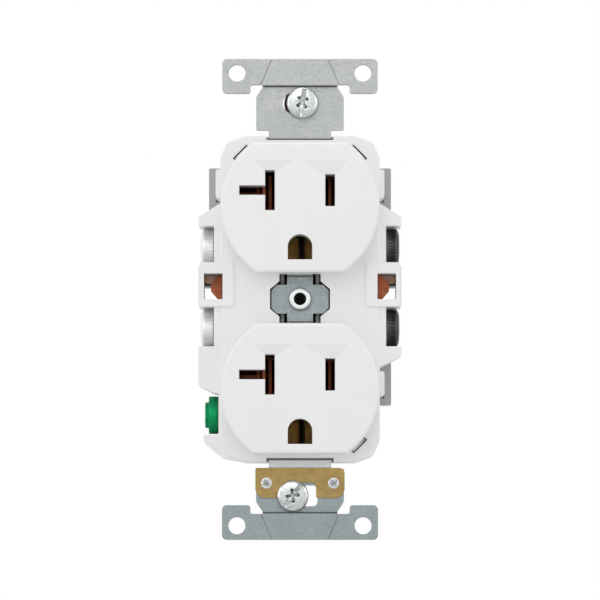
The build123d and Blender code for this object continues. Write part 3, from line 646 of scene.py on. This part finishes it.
def to_mesh(name: str, bm: bmesh.types.BMesh, place: Matrix, sharp: float = 32.0) -> bpy.types.Mesh:
    """Turns a bmesh in millimetres into a mesh in metres.

    Args:
        name: The mesh's name.
        bm: The bmesh, which is freed.
        place: Turn and place, in millimetres.
        sharp: Edges that turn more than this many degrees stay sharp.

    Returns:
        The mesh.
    """
    bm.transform(Matrix.Scale(MM, 4) @ place)
    bmesh.ops.recalc_face_normals(bm, faces=bm.faces)
    mesh = bpy.data.meshes.new(name)
    bm.to_mesh(mesh)
    bm.free()
    mesh.shade_smooth()
    mesh.set_sharp_from_angle(angle=math.radians(sharp))
    return mesh


def around(radius: float, angle: float) -> Point:
    """Point of the plane at a radius and an angle."""
    return radius * math.cos(angle), radius * math.sin(angle)


def bridge(
    bm: bmesh.types.BMesh, rings: Sequence[Sequence[bmesh.types.BMVert]], capped: bool = True
) -> None:
    """Joins closed rings of points by faces.

    Args:
        bm: The bmesh they belong to.
        rings: The rings in order, each with as many points.
        capped: Whether the first and last ring are filled; if not, the last meets the first.
    """
    following = rings[1:] if capped else [*rings[1:], rings[0]]
    for first, second in zip(rings, following):
        for i in range(len(first)):
            j = (i + 1) % len(first)
            bm.faces.new((first[i], first[j], second[j], second[i]))
    if capped:
        bm.faces.new(rings[0])
        bm.faces.new(list(reversed(rings[-1])))


def lathe(profile: Sequence[Point], segments: int) -> bmesh.types.BMesh:
    """Closed body of revolution about Z.

    Args:
        profile: Points as (radius, height) from one pole to the other; a radius of 0 is a pole.
        segments: Number of steps round the axis.

    Returns:
        The bmesh.
    """
    bm = bmesh.new()
    rings: list[list[bmesh.types.BMVert]] = []
    for radius, height in profile:
        if radius == 0:
            rings.append([bm.verts.new((0, 0, height))])
            continue
        angles = [2 * math.pi * i / segments for i in range(segments)]
        rings.append([bm.verts.new((*around(radius, angle), height)) for angle in angles])
    for low, high in zip(rings, rings[1:]):
        for i in range(segments):
            below = [low[i % len(low)], low[(i + 1) % len(low)]]
            above = [high[(i + 1) % len(high)], high[i % len(high)]]
            bm.faces.new(list(dict.fromkeys(below + above)))
    return bm


def box(
    size: Sequence[float], centre: Sequence[float], taper: float = 1.0, turn: float = 0.0
) -> bmesh.types.BMesh:
    """Box whose foot is narrower than its top.

    Args:
        size: Sizes along X, Y and Z.
        centre: Its centre.
        taper: Width of the foot as a share of the top's.
        turn: Turn about Z in degrees.

    Returns:
        The bmesh.
    """
    bm = bmesh.new()
    bmesh.ops.create_cube(bm, size=1.0)
    for vert in bm.verts:
        share = taper if vert.co.z < 0 else 1.0
        vert.co = vert.co * Vector((size[0] * share, size[1] * share, size[2]))
    bm.transform(Matrix.Rotation(math.radians(turn), 4, "Z") @ Matrix.Translation(Vector(centre)))
    return bm


def loose_object(name: str, bm: bmesh.types.BMesh) -> bpy.types.Object:
    """A scratch object for a boolean, in millimetres.

    Args:
        name: Its name.
        bm: Its bmesh, which is freed.

    Returns:
        The object.
    """
    bmesh.ops.recalc_face_normals(bm, faces=bm.faces)
    mesh = bpy.data.meshes.new(name)
    bm.to_mesh(mesh)
    bm.free()
    return linked(name, mesh)


def soften(piece: bpy.types.Object, width: float, weld_reach: float, angle: float) -> None:
    """Adds modifiers that weld a piece's points and round its sharp edges.

    Args:
        piece: The piece.
        width: Width of the rounding, in the piece's units.
        weld_reach: Points nearer than this become one.
        angle: Edges that turn more than this many degrees are rounded.
    """
    weld = piece.modifiers.new("weld", "WELD")
    weld.merge_threshold = weld_reach
    bevel = piece.modifiers.new("edge", "BEVEL")
    bevel.width = width
    bevel.segments = 2
    bevel.limit_method = "ANGLE"
    bevel.angle_limit = math.radians(angle)


def carve(
    base: bmesh.types.BMesh, cutters: Iterable[bmesh.types.BMesh], edge: float
) -> bmesh.types.BMesh:
    """Cuts shapes out of a body and rounds the edges that are left.

    Args:
        base: The body, in millimetres.
        cutters: Shapes to cut away.
        edge: Width of the rounding in millimetres.

    Returns:
        The carved bmesh.
    """
    body = loose_object("carve_body", base)
    tools = [loose_object(f"carve_tool_{i}", cutter) for i, cutter in enumerate(cutters)]
    for tool in tools:
        cut = body.modifiers.new("cut", "BOOLEAN")
        cut.operation = "DIFFERENCE"
        cut.solver = "EXACT"
        cut.object = tool
    soften(body, edge, CARVE_WELD, CARVE_ANGLE)
    bpy.context.view_layer.update()
    graph = bpy.context.evaluated_depsgraph_get()
    done = bmesh.new()
    done.from_mesh(body.evaluated_get(graph).to_mesh())
    for scratch in (body, *tools):
        mesh = scratch.data
        bpy.data.objects.remove(scratch)
        bpy.data.meshes.remove(mesh)
    return done


def join(*parts: bmesh.types.BMesh) -> bmesh.types.BMesh:
    """Several closed bodies as one bmesh.

    Args:
        parts: The bodies, which are freed but for the first.

    Returns:
        The first bmesh, with the rest added.
    """
    whole = parts[0]
    for part in parts[1:]:
        mesh = bpy.data.meshes.new("join")
        part.to_mesh(mesh)
        part.free()
        whole.from_mesh(mesh)
        bpy.data.meshes.remove(mesh)
    return whole


@dataclass(frozen=True)
class Thread:
    """A helical thread form, with a rounded tip."""

    radius: float
    depth: float
    pitch: float
    segments: int = 36
    rows_per_turn: int = 8
    run_out: float = 0.8
    flank: float = 1.35
    root: float = 0.1
    tip_share: float = 0.72
    tip_rate: float = 1.6

    def surface_radius(self, along: float, angle: float, length: float) -> float:
        """Radius of the threaded surface at one point.

        Args:
            along: Distance from the thread's start.
            angle: Angle about the axis.
            length: The thread's length.

        Returns:
            The radius, which fades to the core at both ends.
        """
        phase = (along / self.pitch - angle / (2 * math.pi)) % 1.0
        ridge = min(1.0, max(0.0, self.flank * (1 - abs(2 * phase - 1)) - self.root))
        fade = min(1.0, along / self.run_out, (length - along) / self.run_out)
        return self.radius - self.depth * (1 - ridge * max(0.0, fade))

    def rod(self, start: float, end: float) -> bmesh.types.BMesh:
        """Threaded rod along Z with a chamfered tip at its end.

        Args:
            start: Height of its start, where the head or neck is.
            end: Height of its tip, below the start.

        Returns:
            The closed bmesh.
        """
        length = start - end
        rows = max(4, round(length / self.pitch * self.rows_per_turn))
        bm = bmesh.new()
        rings = []
        for row in range(rows + 1):
            along = length * row / rows
            ring = []
            for i in range(self.segments):
                angle = 2 * math.pi * i / self.segments
                radius = self.surface_radius(along, angle, length)
                open_share = min(1.0, (length - along) / self.run_out * self.tip_rate)
                radius *= self.tip_share + (1 - self.tip_share) * max(0.0, open_share)
                ring.append(bm.verts.new((*around(radius, angle), start - along)))
            rings.append(ring)
        bridge(bm, rings)
        return bm


class Drive(Enum):
    """Recess in a screw's head."""

    COMBINATION = "slot and cross"
    SLOT = "slot"


@dataclass
class Screw:
    """A machine screw along local Z, head up, with its head's underside at 0, in millimetres."""

    head_radius: float
    head_height: float
    rim: float
    shank_radius: float
    shank_length: float
    neck_length: float = 0.0
    neck_radius: float = 1.4
    crown_radius: float = 0.0
    drive: Drive = Drive.COMBINATION
    slot_width: float = 1.0
    slot_depth: float = 0.8
    serrations: int = 0
    serration_depth: float = 0.1
    squareness: float = 0.6
    segments: int = 72
    edge: float = 0.045
    thread_depth: float = 0.36
    overlap: float = 0.05

    def head_profile(self) -> list[Point]:
        """Outline of the head from the axis below to the axis above."""
        radius, rim, height = self.head_radius, self.rim, self.head_height
        outline = [(0.0, 0.0), (radius - 0.12, 0.0), (radius, 0.1)]
        outline += [(radius, rim - 0.08), (radius - 0.05, rim)]
        if self.crown_radius:
            crown = self.crown_radius
            outline += [(crown + 0.1, rim + 0.03), (crown, rim + 0.12)]
            outline += [(crown - 0.02, height - 0.2), (crown - 0.1, height - 0.06)]
            outline.append((crown - 0.25, height))
        else:
            steps = 12
            for i in range(1, steps + 1):
                share = math.pi / 2 * i / (steps + 1)
                reach = radius * math.cos(share) ** self.squareness
                rise = (height - rim) * math.sin(share) ** self.squareness
                outline.append((reach, rim + rise))
        return outline + [(0.0, height)]

    def recess(self) -> list[bmesh.types.BMesh]:
        """Cutters of the driver's recess."""
        top = self.head_height
        reach = 2 * 0.93 * (self.crown_radius or self.head_radius)
        cuts = [(reach, self.slot_width, self.slot_depth, 0.97, 0.0)]
        if self.drive is Drive.COMBINATION:
            span, width = 1.16 * self.head_radius, 0.86 * self.slot_width
            cuts += [(span, width, 1.75 * self.slot_depth, 0.55, turn) for turn in (45.0, 135.0)]
        over = 1.0
        return [
            box((span, width, depth + over), (0, 0, top + (over - depth) / 2), taper, turn)
            for span, width, depth, taper, turn in cuts
        ]

    def stand_in(
        self, node: str, spot: Sequence[float], lay: Matrix, turn: float, finish: Finish
    ) -> None:
        """Builds the screw in place of its plain frame node.

        Args:
            node: The frame node, which is also the body's name.
            spot: Where its head's underside goes, in millimetres.
            lay: Turn that lays its axis.
            turn: Turn about its own axis in degrees.
            finish: Its surface finish.
        """
        head = lathe(self.head_profile(), self.segments)
        if self.serrations:
            self.serrate(head)
        parts = [carve(head, self.recess(), self.edge)]
        start = self.overlap
        if self.neck_length:
            radius, foot = self.neck_radius, -self.neck_length
            parts.append(lathe([(0.0, start), (radius, start), (radius, foot), (0.0, foot)], 40))
            start += foot
        thread = Thread(self.shank_radius, self.thread_depth, INCH_32_PITCH)
        parts.append(thread.rod(start, -self.shank_length))
        place = Matrix.Translation(spot) @ lay @ Matrix.Rotation(math.radians(turn), 4, "Z")
        mesh = to_mesh(node, join(*parts), place)
        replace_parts(new_piece(f"{node}_threaded", mesh, finish, node), node)
        log.info("built %s", node)

    def serrate(self, head: bmesh.types.BMesh) -> None:
        """Presses fine radial grips into the head's rim.

        Args:
            head: The head's bmesh, changed in place.
        """
        for vert in head.verts:
            radius = math.hypot(vert.co.x, vert.co.y)
            if radius < self.head_radius - 0.03 or vert.co.z > self.rim:
                continue
            angle = math.atan2(vert.co.y, vert.co.x)
            dip = self.serration_depth / 2 * (1 + math.cos(self.serrations * angle))
            vert.co.x *= 1 - dip / radius
            vert.co.y *= 1 - dip / radius


# --- Sub-assemblies ---
def corners(node: str) -> tuple[Vector, Vector]:
    """Lowest and highest corner of a frame node, in millimetres."""
    low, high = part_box(node)
    return low / MM, high / MM


def dress(frame: dict, node: str, finish: Finish, edge: float = 0.0) -> None:
    """Gives a frame node its finish, and softens its edges without changing its mesh.

    Args:
        frame: The loaded frame.
        node: The node's name.
        finish: Its surface finish.
        edge: Width of the softened edges in millimetres, or 0 for none.
    """
    piece = frame["nodes"][node]
    piece.data.materials.clear()
    piece.data.materials.append(finish.material())
    if edge:
        soften(piece, edge * MM, FRAME_WELD * MM, FRAME_ANGLE)
        normals = piece.modifiers.new("normals", "WEIGHTED_NORMAL")
        normals.keep_sharp = True
    log.info("dressed %s", node)


@dataclass
class Housing:
    """White front cover and grey back body, with the collars of the wire holes."""

    cover_edge: float = 0.1
    body_edge: float = 0.12
    collar_radius: float = 1.5
    collar_width: float = 0.55
    collar_height: float = 0.25
    collar_pitch: float = 2.9
    collar_steps: tuple[int, int] = (40, 9)
    hole_from_clamp: float = 0.35

    def build(self, frame: dict) -> None:
        """Dresses the two shells and adds the collars.

        Args:
            frame: The loaded frame.
        """
        dress(frame, "front_cover", WHITE_PLASTIC, self.cover_edge)
        dress(frame, "back_body", GREY_PLASTIC, self.body_edge)
        back = corners("back_body")[1].y
        ends = ("neutral_clamp", "hot_clamp")
        for clamp in sorted(node for node in frame["nodes"] if node.endswith(ends)):
            low, high = corners(clamp)
            side = 1 if low.x > 0 else -1
            across = (low.x if side > 0 else high.x) + side * self.hole_from_clamp
            for place, shift in (("low", -self.collar_pitch), ("high", self.collar_pitch)):
                name = f"{clamp.removesuffix('_clamp')}_wire_collar_{place}"
                centre = Vector((across, back, (low.z + high.z) / 2 + shift))
                mesh = self.collar(name, centre)
                new_piece(name, mesh, GREY_PLASTIC, "device")
        log.info("built the wire holes' collars")

    def collar(self, name: str, centre: Vector) -> bpy.types.Mesh:
        """A low rounded ring round one wire hole.

        Args:
            name: The mesh's name.
            centre: Centre of the hole on the back face.

        Returns:
            The mesh.
        """
        bm = bmesh.new()
        steps_round, steps_over = self.collar_steps
        rings = []
        for i in range(steps_round):
            angle = 2 * math.pi * i / steps_round
            ring = []
            for j in range(steps_over):
                share = math.pi * j / (steps_over - 1)
                radius = self.collar_radius + self.collar_width * (0.5 - 0.5 * math.cos(share))
                height = self.collar_height * math.sin(share)
                ring.append(bm.verts.new((*around(radius, angle), height)))
            rings.append(ring)
        bridge(bm, rings, capped=False)
        place = Matrix.Translation(centre) @ Matrix.Rotation(math.radians(-90), 4, "X")
        return to_mesh(name, bm, place, 60)


@dataclass
class Strap:
    """Galvanised yoke with its tapped boss, the self-grounding clip and the clip's stakes."""

    edge: float = 0.11
    clip_edge: float = 0.06
    bore: float = 1.35
    thread_depth: float = 0.2
    thread_inset: float = 0.45
    thread_steps: int = 40
    stake_notches: int = 9
    stake_dent: float = 0.13

    def build(self, frame: dict) -> None:
        """Dresses the strap and its clip, and adds the tapped thread and the stakes.

        Args:
            frame: The loaded frame.
        """
        dress(frame, "yoke", STRAP_STEEL, self.edge)
        dress(frame, "self_ground_clip", CLIP_BRASS, self.clip_edge)
        low, high = corners("yoke")
        thread = self.tapped_thread(low.y + self.thread_inset, high.y - self.thread_inset)
        new_piece("boss_thread", thread, STRAP_STEEL, "device")
        stakes = self.stakes(*corners("clip_rivets"))
        piece = new_piece("clip_stakes", stakes, STAKE_ZINC, "device")
        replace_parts(piece, "clip_rivets")
        log.info("built the boss thread and the stakes")

    def tapped_thread(self, front: float, back: float) -> bpy.types.Mesh:
        """Helical ridge that stands inward from the boss's bore.

        Args:
            front: Y of the ridge's start.
            back: Y of the ridge's end.

        Returns:
            The mesh.
        """
        turns = (back - front) / INCH_32_PITCH
        steps = round(turns * self.thread_steps)
        half = 0.3 * INCH_32_PITCH
        base = self.bore + 0.02
        bm = bmesh.new()
        rings = []
        for step in range(steps + 1):
            angle = 2 * math.pi * turns * step / steps
            along = front + (back - front) * step / steps
            fade = min(1.0, *(2 * left / self.thread_steps for left in (step, steps - step)))
            crest = self.bore - self.thread_depth * fade
            ring = []
            for radius, shift in ((base, -half), (crest, 0.0), (base, half)):
                x, z = around(radius, angle)
                ring.append(bm.verts.new((x, along + shift, z)))
            rings.append(ring)
        bridge(bm, rings)
        return to_mesh("boss_thread", bm, Matrix.Identity(4), 25)

    def stakes(self, low: Vector, high: Vector) -> bpy.types.Mesh:
        """The two staked studs, with their faces upset by a pronged punch.

        Args:
            low: Lowest corner of the pair.
            high: Highest corner of the pair.

        Returns:
            The mesh.
        """
        length = high.y - low.y
        radius = (high.z - low.z) / 2
        profile = [(0.0, 0.0), (radius - 0.15, 0.0), (radius, 0.15), (radius, length - 0.12)]
        steps = 8
        for i in range(1, steps):
            reach = radius * (1 - 0.06 * i / steps) * (steps - i) / steps
            profile.append((reach + 0.02, length - 0.05))
        profile.append((0.0, length - 0.08))
        turn = Matrix.Rotation(math.radians(90), 4, "X")
        studs = []
        for x in (low.x + radius, high.x - radius):
            stud = lathe(profile, 54)
            for vert in (vert for vert in stud.verts if vert.co.z >= length - 0.11):
                share = vert.co.xy.length / radius
                angle = math.atan2(vert.co.y, vert.co.x) + 0.4 * x
                prong = max(0.0, math.cos(self.stake_notches * angle))
                prong *= math.sin(math.pi * min(1.0, share)) ** 0.7
                grit = math.sin(13.7 * vert.co.x + 5.1 * x) * math.sin(17.3 * vert.co.y + 1.3)
                dent = self.stake_dent * prong + (0.1 if share < 0.2 else 0.0)
                vert.co.z = min(vert.co.z + 0.04 * grit - dent, length)
            stud.transform(Matrix.Translation((x, high.y, (low.z + high.z) / 2)) @ turn)
            studs.append(stud)
        return to_mesh("clip_stakes", join(*studs), Matrix.Identity(4), 40)


@dataclass
class Contacts:
    """Bus bars, ground contacts, the ground bracket and their rivets."""

    edge: float = 0.05
    tie_edge: float = 0.04
    lug_edge: float = 0.06
    lug_root: float = 16.42
    lug_tip: float = 20.25
    lug_front: float = 7.2
    lug_thickness: float = 0.8
    lug_foot: float = 3.45
    lug_top: float = 5.3
    lug_corner: float = 0.5

    def build(self, frame: dict) -> None:
        """Dresses every current-carrying piece.

        Args:
            frame: The loaded frame.
        """
        for node in ("hot_bus", "neutral_bus"):
            dress(frame, node, BUS_COPPER, self.edge)
        for node in ("upper_ground_contact", "lower_ground_contact", "ground_terminal"):
            dress(frame, node, CONTACT_BRASS, self.edge)
        dress(frame, "contact_rivets", STRAP_STEEL, self.edge)
        for node in ("upper_left", "upper_right", "lower_right"):
            dress(frame, f"{node}_assembly_clip", TIE_STEEL, self.tie_edge)
        for name, side in (("neutral_tab_lug", -1), ("hot_tab_lug", 1)):
            new_piece(name, self.tab_lug(name, side), LUG_STRIP, "device")
            log.info("built %s", name)

    def tab_lug(self, name: str, side: int) -> bpy.types.Mesh:
        """Stub of strip behind the top of the tab window, with rounded outer corners.

        Args:
            name: The mesh's name.
            side: -1 at the left and 1 at the right.

        Returns:
            The mesh.
        """
        outline = [(self.lug_root, self.lug_foot), (self.lug_tip - 1.6, self.lug_foot)]
        outline += [(self.lug_tip - 0.4, self.lug_foot + 0.15), (self.lug_tip, self.lug_foot + 0.5)]
        steps = 5
        for i in range(steps + 1):
            share = math.pi / 2 * i / steps
            reach = self.lug_corner * (1 - math.cos(share))
            rise = self.lug_corner * (1 - math.sin(share))
            outline.append((self.lug_tip - reach, self.lug_top - rise))
        outline.append((self.lug_root, self.lug_top))
        bm = bmesh.new()
        levels = (self.lug_front, self.lug_front + self.lug_thickness)
        bridge(bm, [[bm.verts.new((side * x, y, z)) for x, z in outline] for y in levels])
        bmesh.ops.recalc_face_normals(bm, faces=bm.faces)
        bmesh.ops.bevel(
            bm,
            geom=bm.edges[:],
            offset=self.lug_edge,
            segments=2,
            affect="EDGES",
            clamp_overlap=True,
        )
        return to_mesh(name, bm, Matrix.Identity(4))


@dataclass
class Terminals:
    """The four terminal screws, the ground screw and their pressure plates."""

    rim: float = 1.7
    shank_radius: float = 2.05
    slot_width: float = 1.1
    slot_depth: float = 1.0
    crown_radius: float = 2.75
    crown_height: float = 0.8
    serrations: int = 36
    clearance: float = 0.05
    turn: float = 35.0
    plate_edge: float = 0.05

    def build(self, frame: dict) -> None:
        """Builds each screw in place of its plain frame node.

        Args:
            frame: The loaded frame.
        """
        for name, finish, slot, crown in (
            ("upper_neutral", NICKEL, "silver_screw", 0.0),
            ("lower_neutral", NICKEL, "silver_screw", 0.0),
            ("upper_hot", BLACK_OXIDE, "black_screw", 0.0),
            ("lower_hot", BLACK_OXIDE, "black_screw", 0.0),
            ("ground", GREEN, "green_screw", self.crown_radius),
        ):
            self.screw(f"{name}_screw", finish, slot, crown)
            dress(frame, f"{name}_clamp", CLAMP_STEEL, self.plate_edge)

    def screw(self, node: str, finish: Finish, slot: str, crown: float) -> None:
        """Builds one terminal screw.

        Args:
            node: The frame node it stands for, which is also its body.
            finish: Its surface finish.
            slot: Its material slot; not used.
            crown: Radius of its raised crown, or 0 for a domed head.
        """
        low, high = corners(node)
        side = 1 if low.x > 0 else -1
        tip, top = (low.x, high.x) if side > 0 else (high.x, low.x)
        plate = corners(node.replace("screw", "clamp"))
        underside = plate[1 if side > 0 else 0].x + side * self.clearance
        head_height = abs(top - underside)
        screw = Screw(
            head_radius=(high.z - low.z) / 2,
            head_height=head_height,
            rim=head_height - self.crown_height if crown else self.rim,
            shank_radius=self.shank_radius,
            shank_length=abs(tip - underside),
            crown_radius=crown,
            drive=Drive.SLOT if crown else Drive.COMBINATION,
            slot_width=self.slot_width,
            slot_depth=self.slot_depth,
            serrations=0 if crown else self.serrations,
        )
        lay = Matrix.Rotation(math.radians(90 * side), 4, "Y")
        _, depth, height = (low + high) / 2
        screw.stand_in(node, (underside, depth, height), lay, self.turn, finish)


@dataclass
class BoxScrews:
    """The two captive mounting screws and their fibre washers."""

    rim: float = 0.4
    head_height: float = 1.5
    slot_depth: float = 0.62
    neck_overlap: float = 0.5
    neck_radius: float = 1.45
    shank_radius: float = 1.75
    washer_edge: float = 0.05
    upper_turn: float = 80.0
    lower_turn: float = 52.0

    def build(self, frame: dict) -> None:
        """Builds each screw in place of its plain frame node.

        Args:
            frame: The loaded frame.
        """
        for place, turn in (("upper", self.upper_turn), ("lower", self.lower_turn)):
            node = f"{place}_mounting_screw"
            low, high = corners(node)
            washer = corners(f"{place}_screw_washer")[1].y
            head_back = low.y + self.head_height
            screw = Screw(
                head_radius=(high.x - low.x) / 2,
                head_height=self.head_height,
                rim=self.rim,
                shank_radius=self.shank_radius,
                shank_length=high.y - head_back,
                neck_length=washer + self.neck_overlap - head_back,
                neck_radius=self.neck_radius,
                slot_depth=self.slot_depth,
            )
            lay = Matrix.Rotation(math.radians(90), 4, "X")
            spot = ((low.x + high.x) / 2, head_back, (low.z + high.z) / 2)
            screw.stand_in(node, spot, lay, turn, ZINC)
            dress(frame, f"{place}_screw_washer", FIBRE, self.washer_edge)


# --- Studio ---
@dataclass
class Studio:
    """Pale floor, white surroundings, soft lamps and the camera."""

    distance: float = 1.2
    tilt: float = 2.75
    view_width: float = 0.1271
    sensor: float = 36.0
    target: tuple[float, float, float] = (0.0, 0.0, -0.00022)
    floor_level: float = -0.08
    floor_radius: float = 1.6
    floor_colour: Colour = (0.86, 0.86, 0.86)
    floor_fade: Point = (120.0, 700.0)
    ambient: float = 0.6

    def build(self) -> None:
        """Sets the colour management and builds everything round the object."""
        bpy.context.scene.view_settings.view_transform = "Standard"
        self.camera()
        self.surroundings()
        self.floor()
        for name, spot, size, power in (
            ("front_lamp", (-0.25, -1.3, 0.75), 0.9, 3.2),
            ("left_lamp", (-1.1, -0.45, 0.25), 0.8, 2.0),
            ("right_lamp", (1.1, -0.45, 0.25), 0.8, 2.0),
            ("top_lamp", (0.0, -0.25, 1.1), 0.8, 2.4),
        ):
            self.lamp(name, Vector(spot), size, power)

    def camera(self) -> None:
        """A long lens in front, a little below the object's centre."""
        data = bpy.data.cameras.new("camera")
        data.sensor_width = self.sensor
        data.lens = self.sensor * self.distance / self.view_width
        data.clip_start = 0.05
        data.clip_end = 20.0
        camera = linked("camera", data)
        tilt = math.radians(self.tilt)
        back = Vector((0, -math.cos(tilt), -math.sin(tilt)))
        camera.location = Vector(self.target) + back * self.distance
        camera.rotation_euler = (-back).to_track_quat("-Z", "Y").to_euler()
        bpy.context.scene.camera = camera

    def surroundings(self) -> None:
        """A world that is white to the eye and in reflections, and softer as a light."""
        world = bpy.data.worlds.new("surroundings")
        bpy.context.scene.world = world
        graph = Graph(world)
        rays = graph.add("ShaderNodeLightPath", {}, output="Is Camera Ray")
        mirrored = rays.beside("Is Glossy Ray").at_least(rays.beside("Is Transmission Ray"))
        soft, white = (
            graph.add("ShaderNodeBackground", {0: (1.0, 1.0, 1.0), 1: power}, kind=Kind.SHADER)
            for power in (self.ambient, 1.0)
        )
        graph.end_mixed(rays.at_least(mirrored), soft, white)

    def floor(self) -> None:
        """A round pale floor that fades into the white surroundings."""
        bm = bmesh.new()
        bmesh.ops.create_circle(bm, cap_ends=True, segments=96, radius=self.floor_radius)
        mesh = bpy.data.meshes.new("floor")
        bm.to_mesh(mesh)
        bm.free()
        floor = linked("floor", mesh)
        floor.location.z = self.floor_level
        material = bpy.data.materials.new("floor")
        graph = Graph(material)
        fade = graph.place().length().step(*self.floor_fade)
        pale = graph.add("ShaderNodeBsdfDiffuse", {"Color": self.floor_colour}, kind=Kind.SHADER)
        white = graph.add("ShaderNodeEmission", {}, kind=Kind.SHADER)
        graph.end_mixed(fade, pale, white)
        mesh.materials.append(material)

    def lamp(self, name: str, spot: Vector, size: float, power: float) -> None:
        """One square soft lamp aimed at the object.

        Args:
            name: The lamp's name.
            spot: Its place.
            size: Its side.
            power: Its power in watts.
        """
        data = bpy.data.lights.new(name, "AREA")
        data.size = size
        data.energy = power
        lamp = linked(name, data)
        lamp.location = spot
        lamp.rotation_euler = (-spot).to_track_quat("-Z", "Y").to_euler()


def main() -> None:
    """Builds the looks round the frame."""
    logging.basicConfig(level=logging.INFO, format="%(name)s: %(message)s")
    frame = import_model()
    Studio().build()
    makers: list[Callable[[dict], None]] = [
        Housing().build,
        Strap().build,
        Contacts().build,
        Terminals().build,
        BoxScrews().build,
    ]
    for make in makers:
        make(frame)


if __name__ == "__main__":
    main()
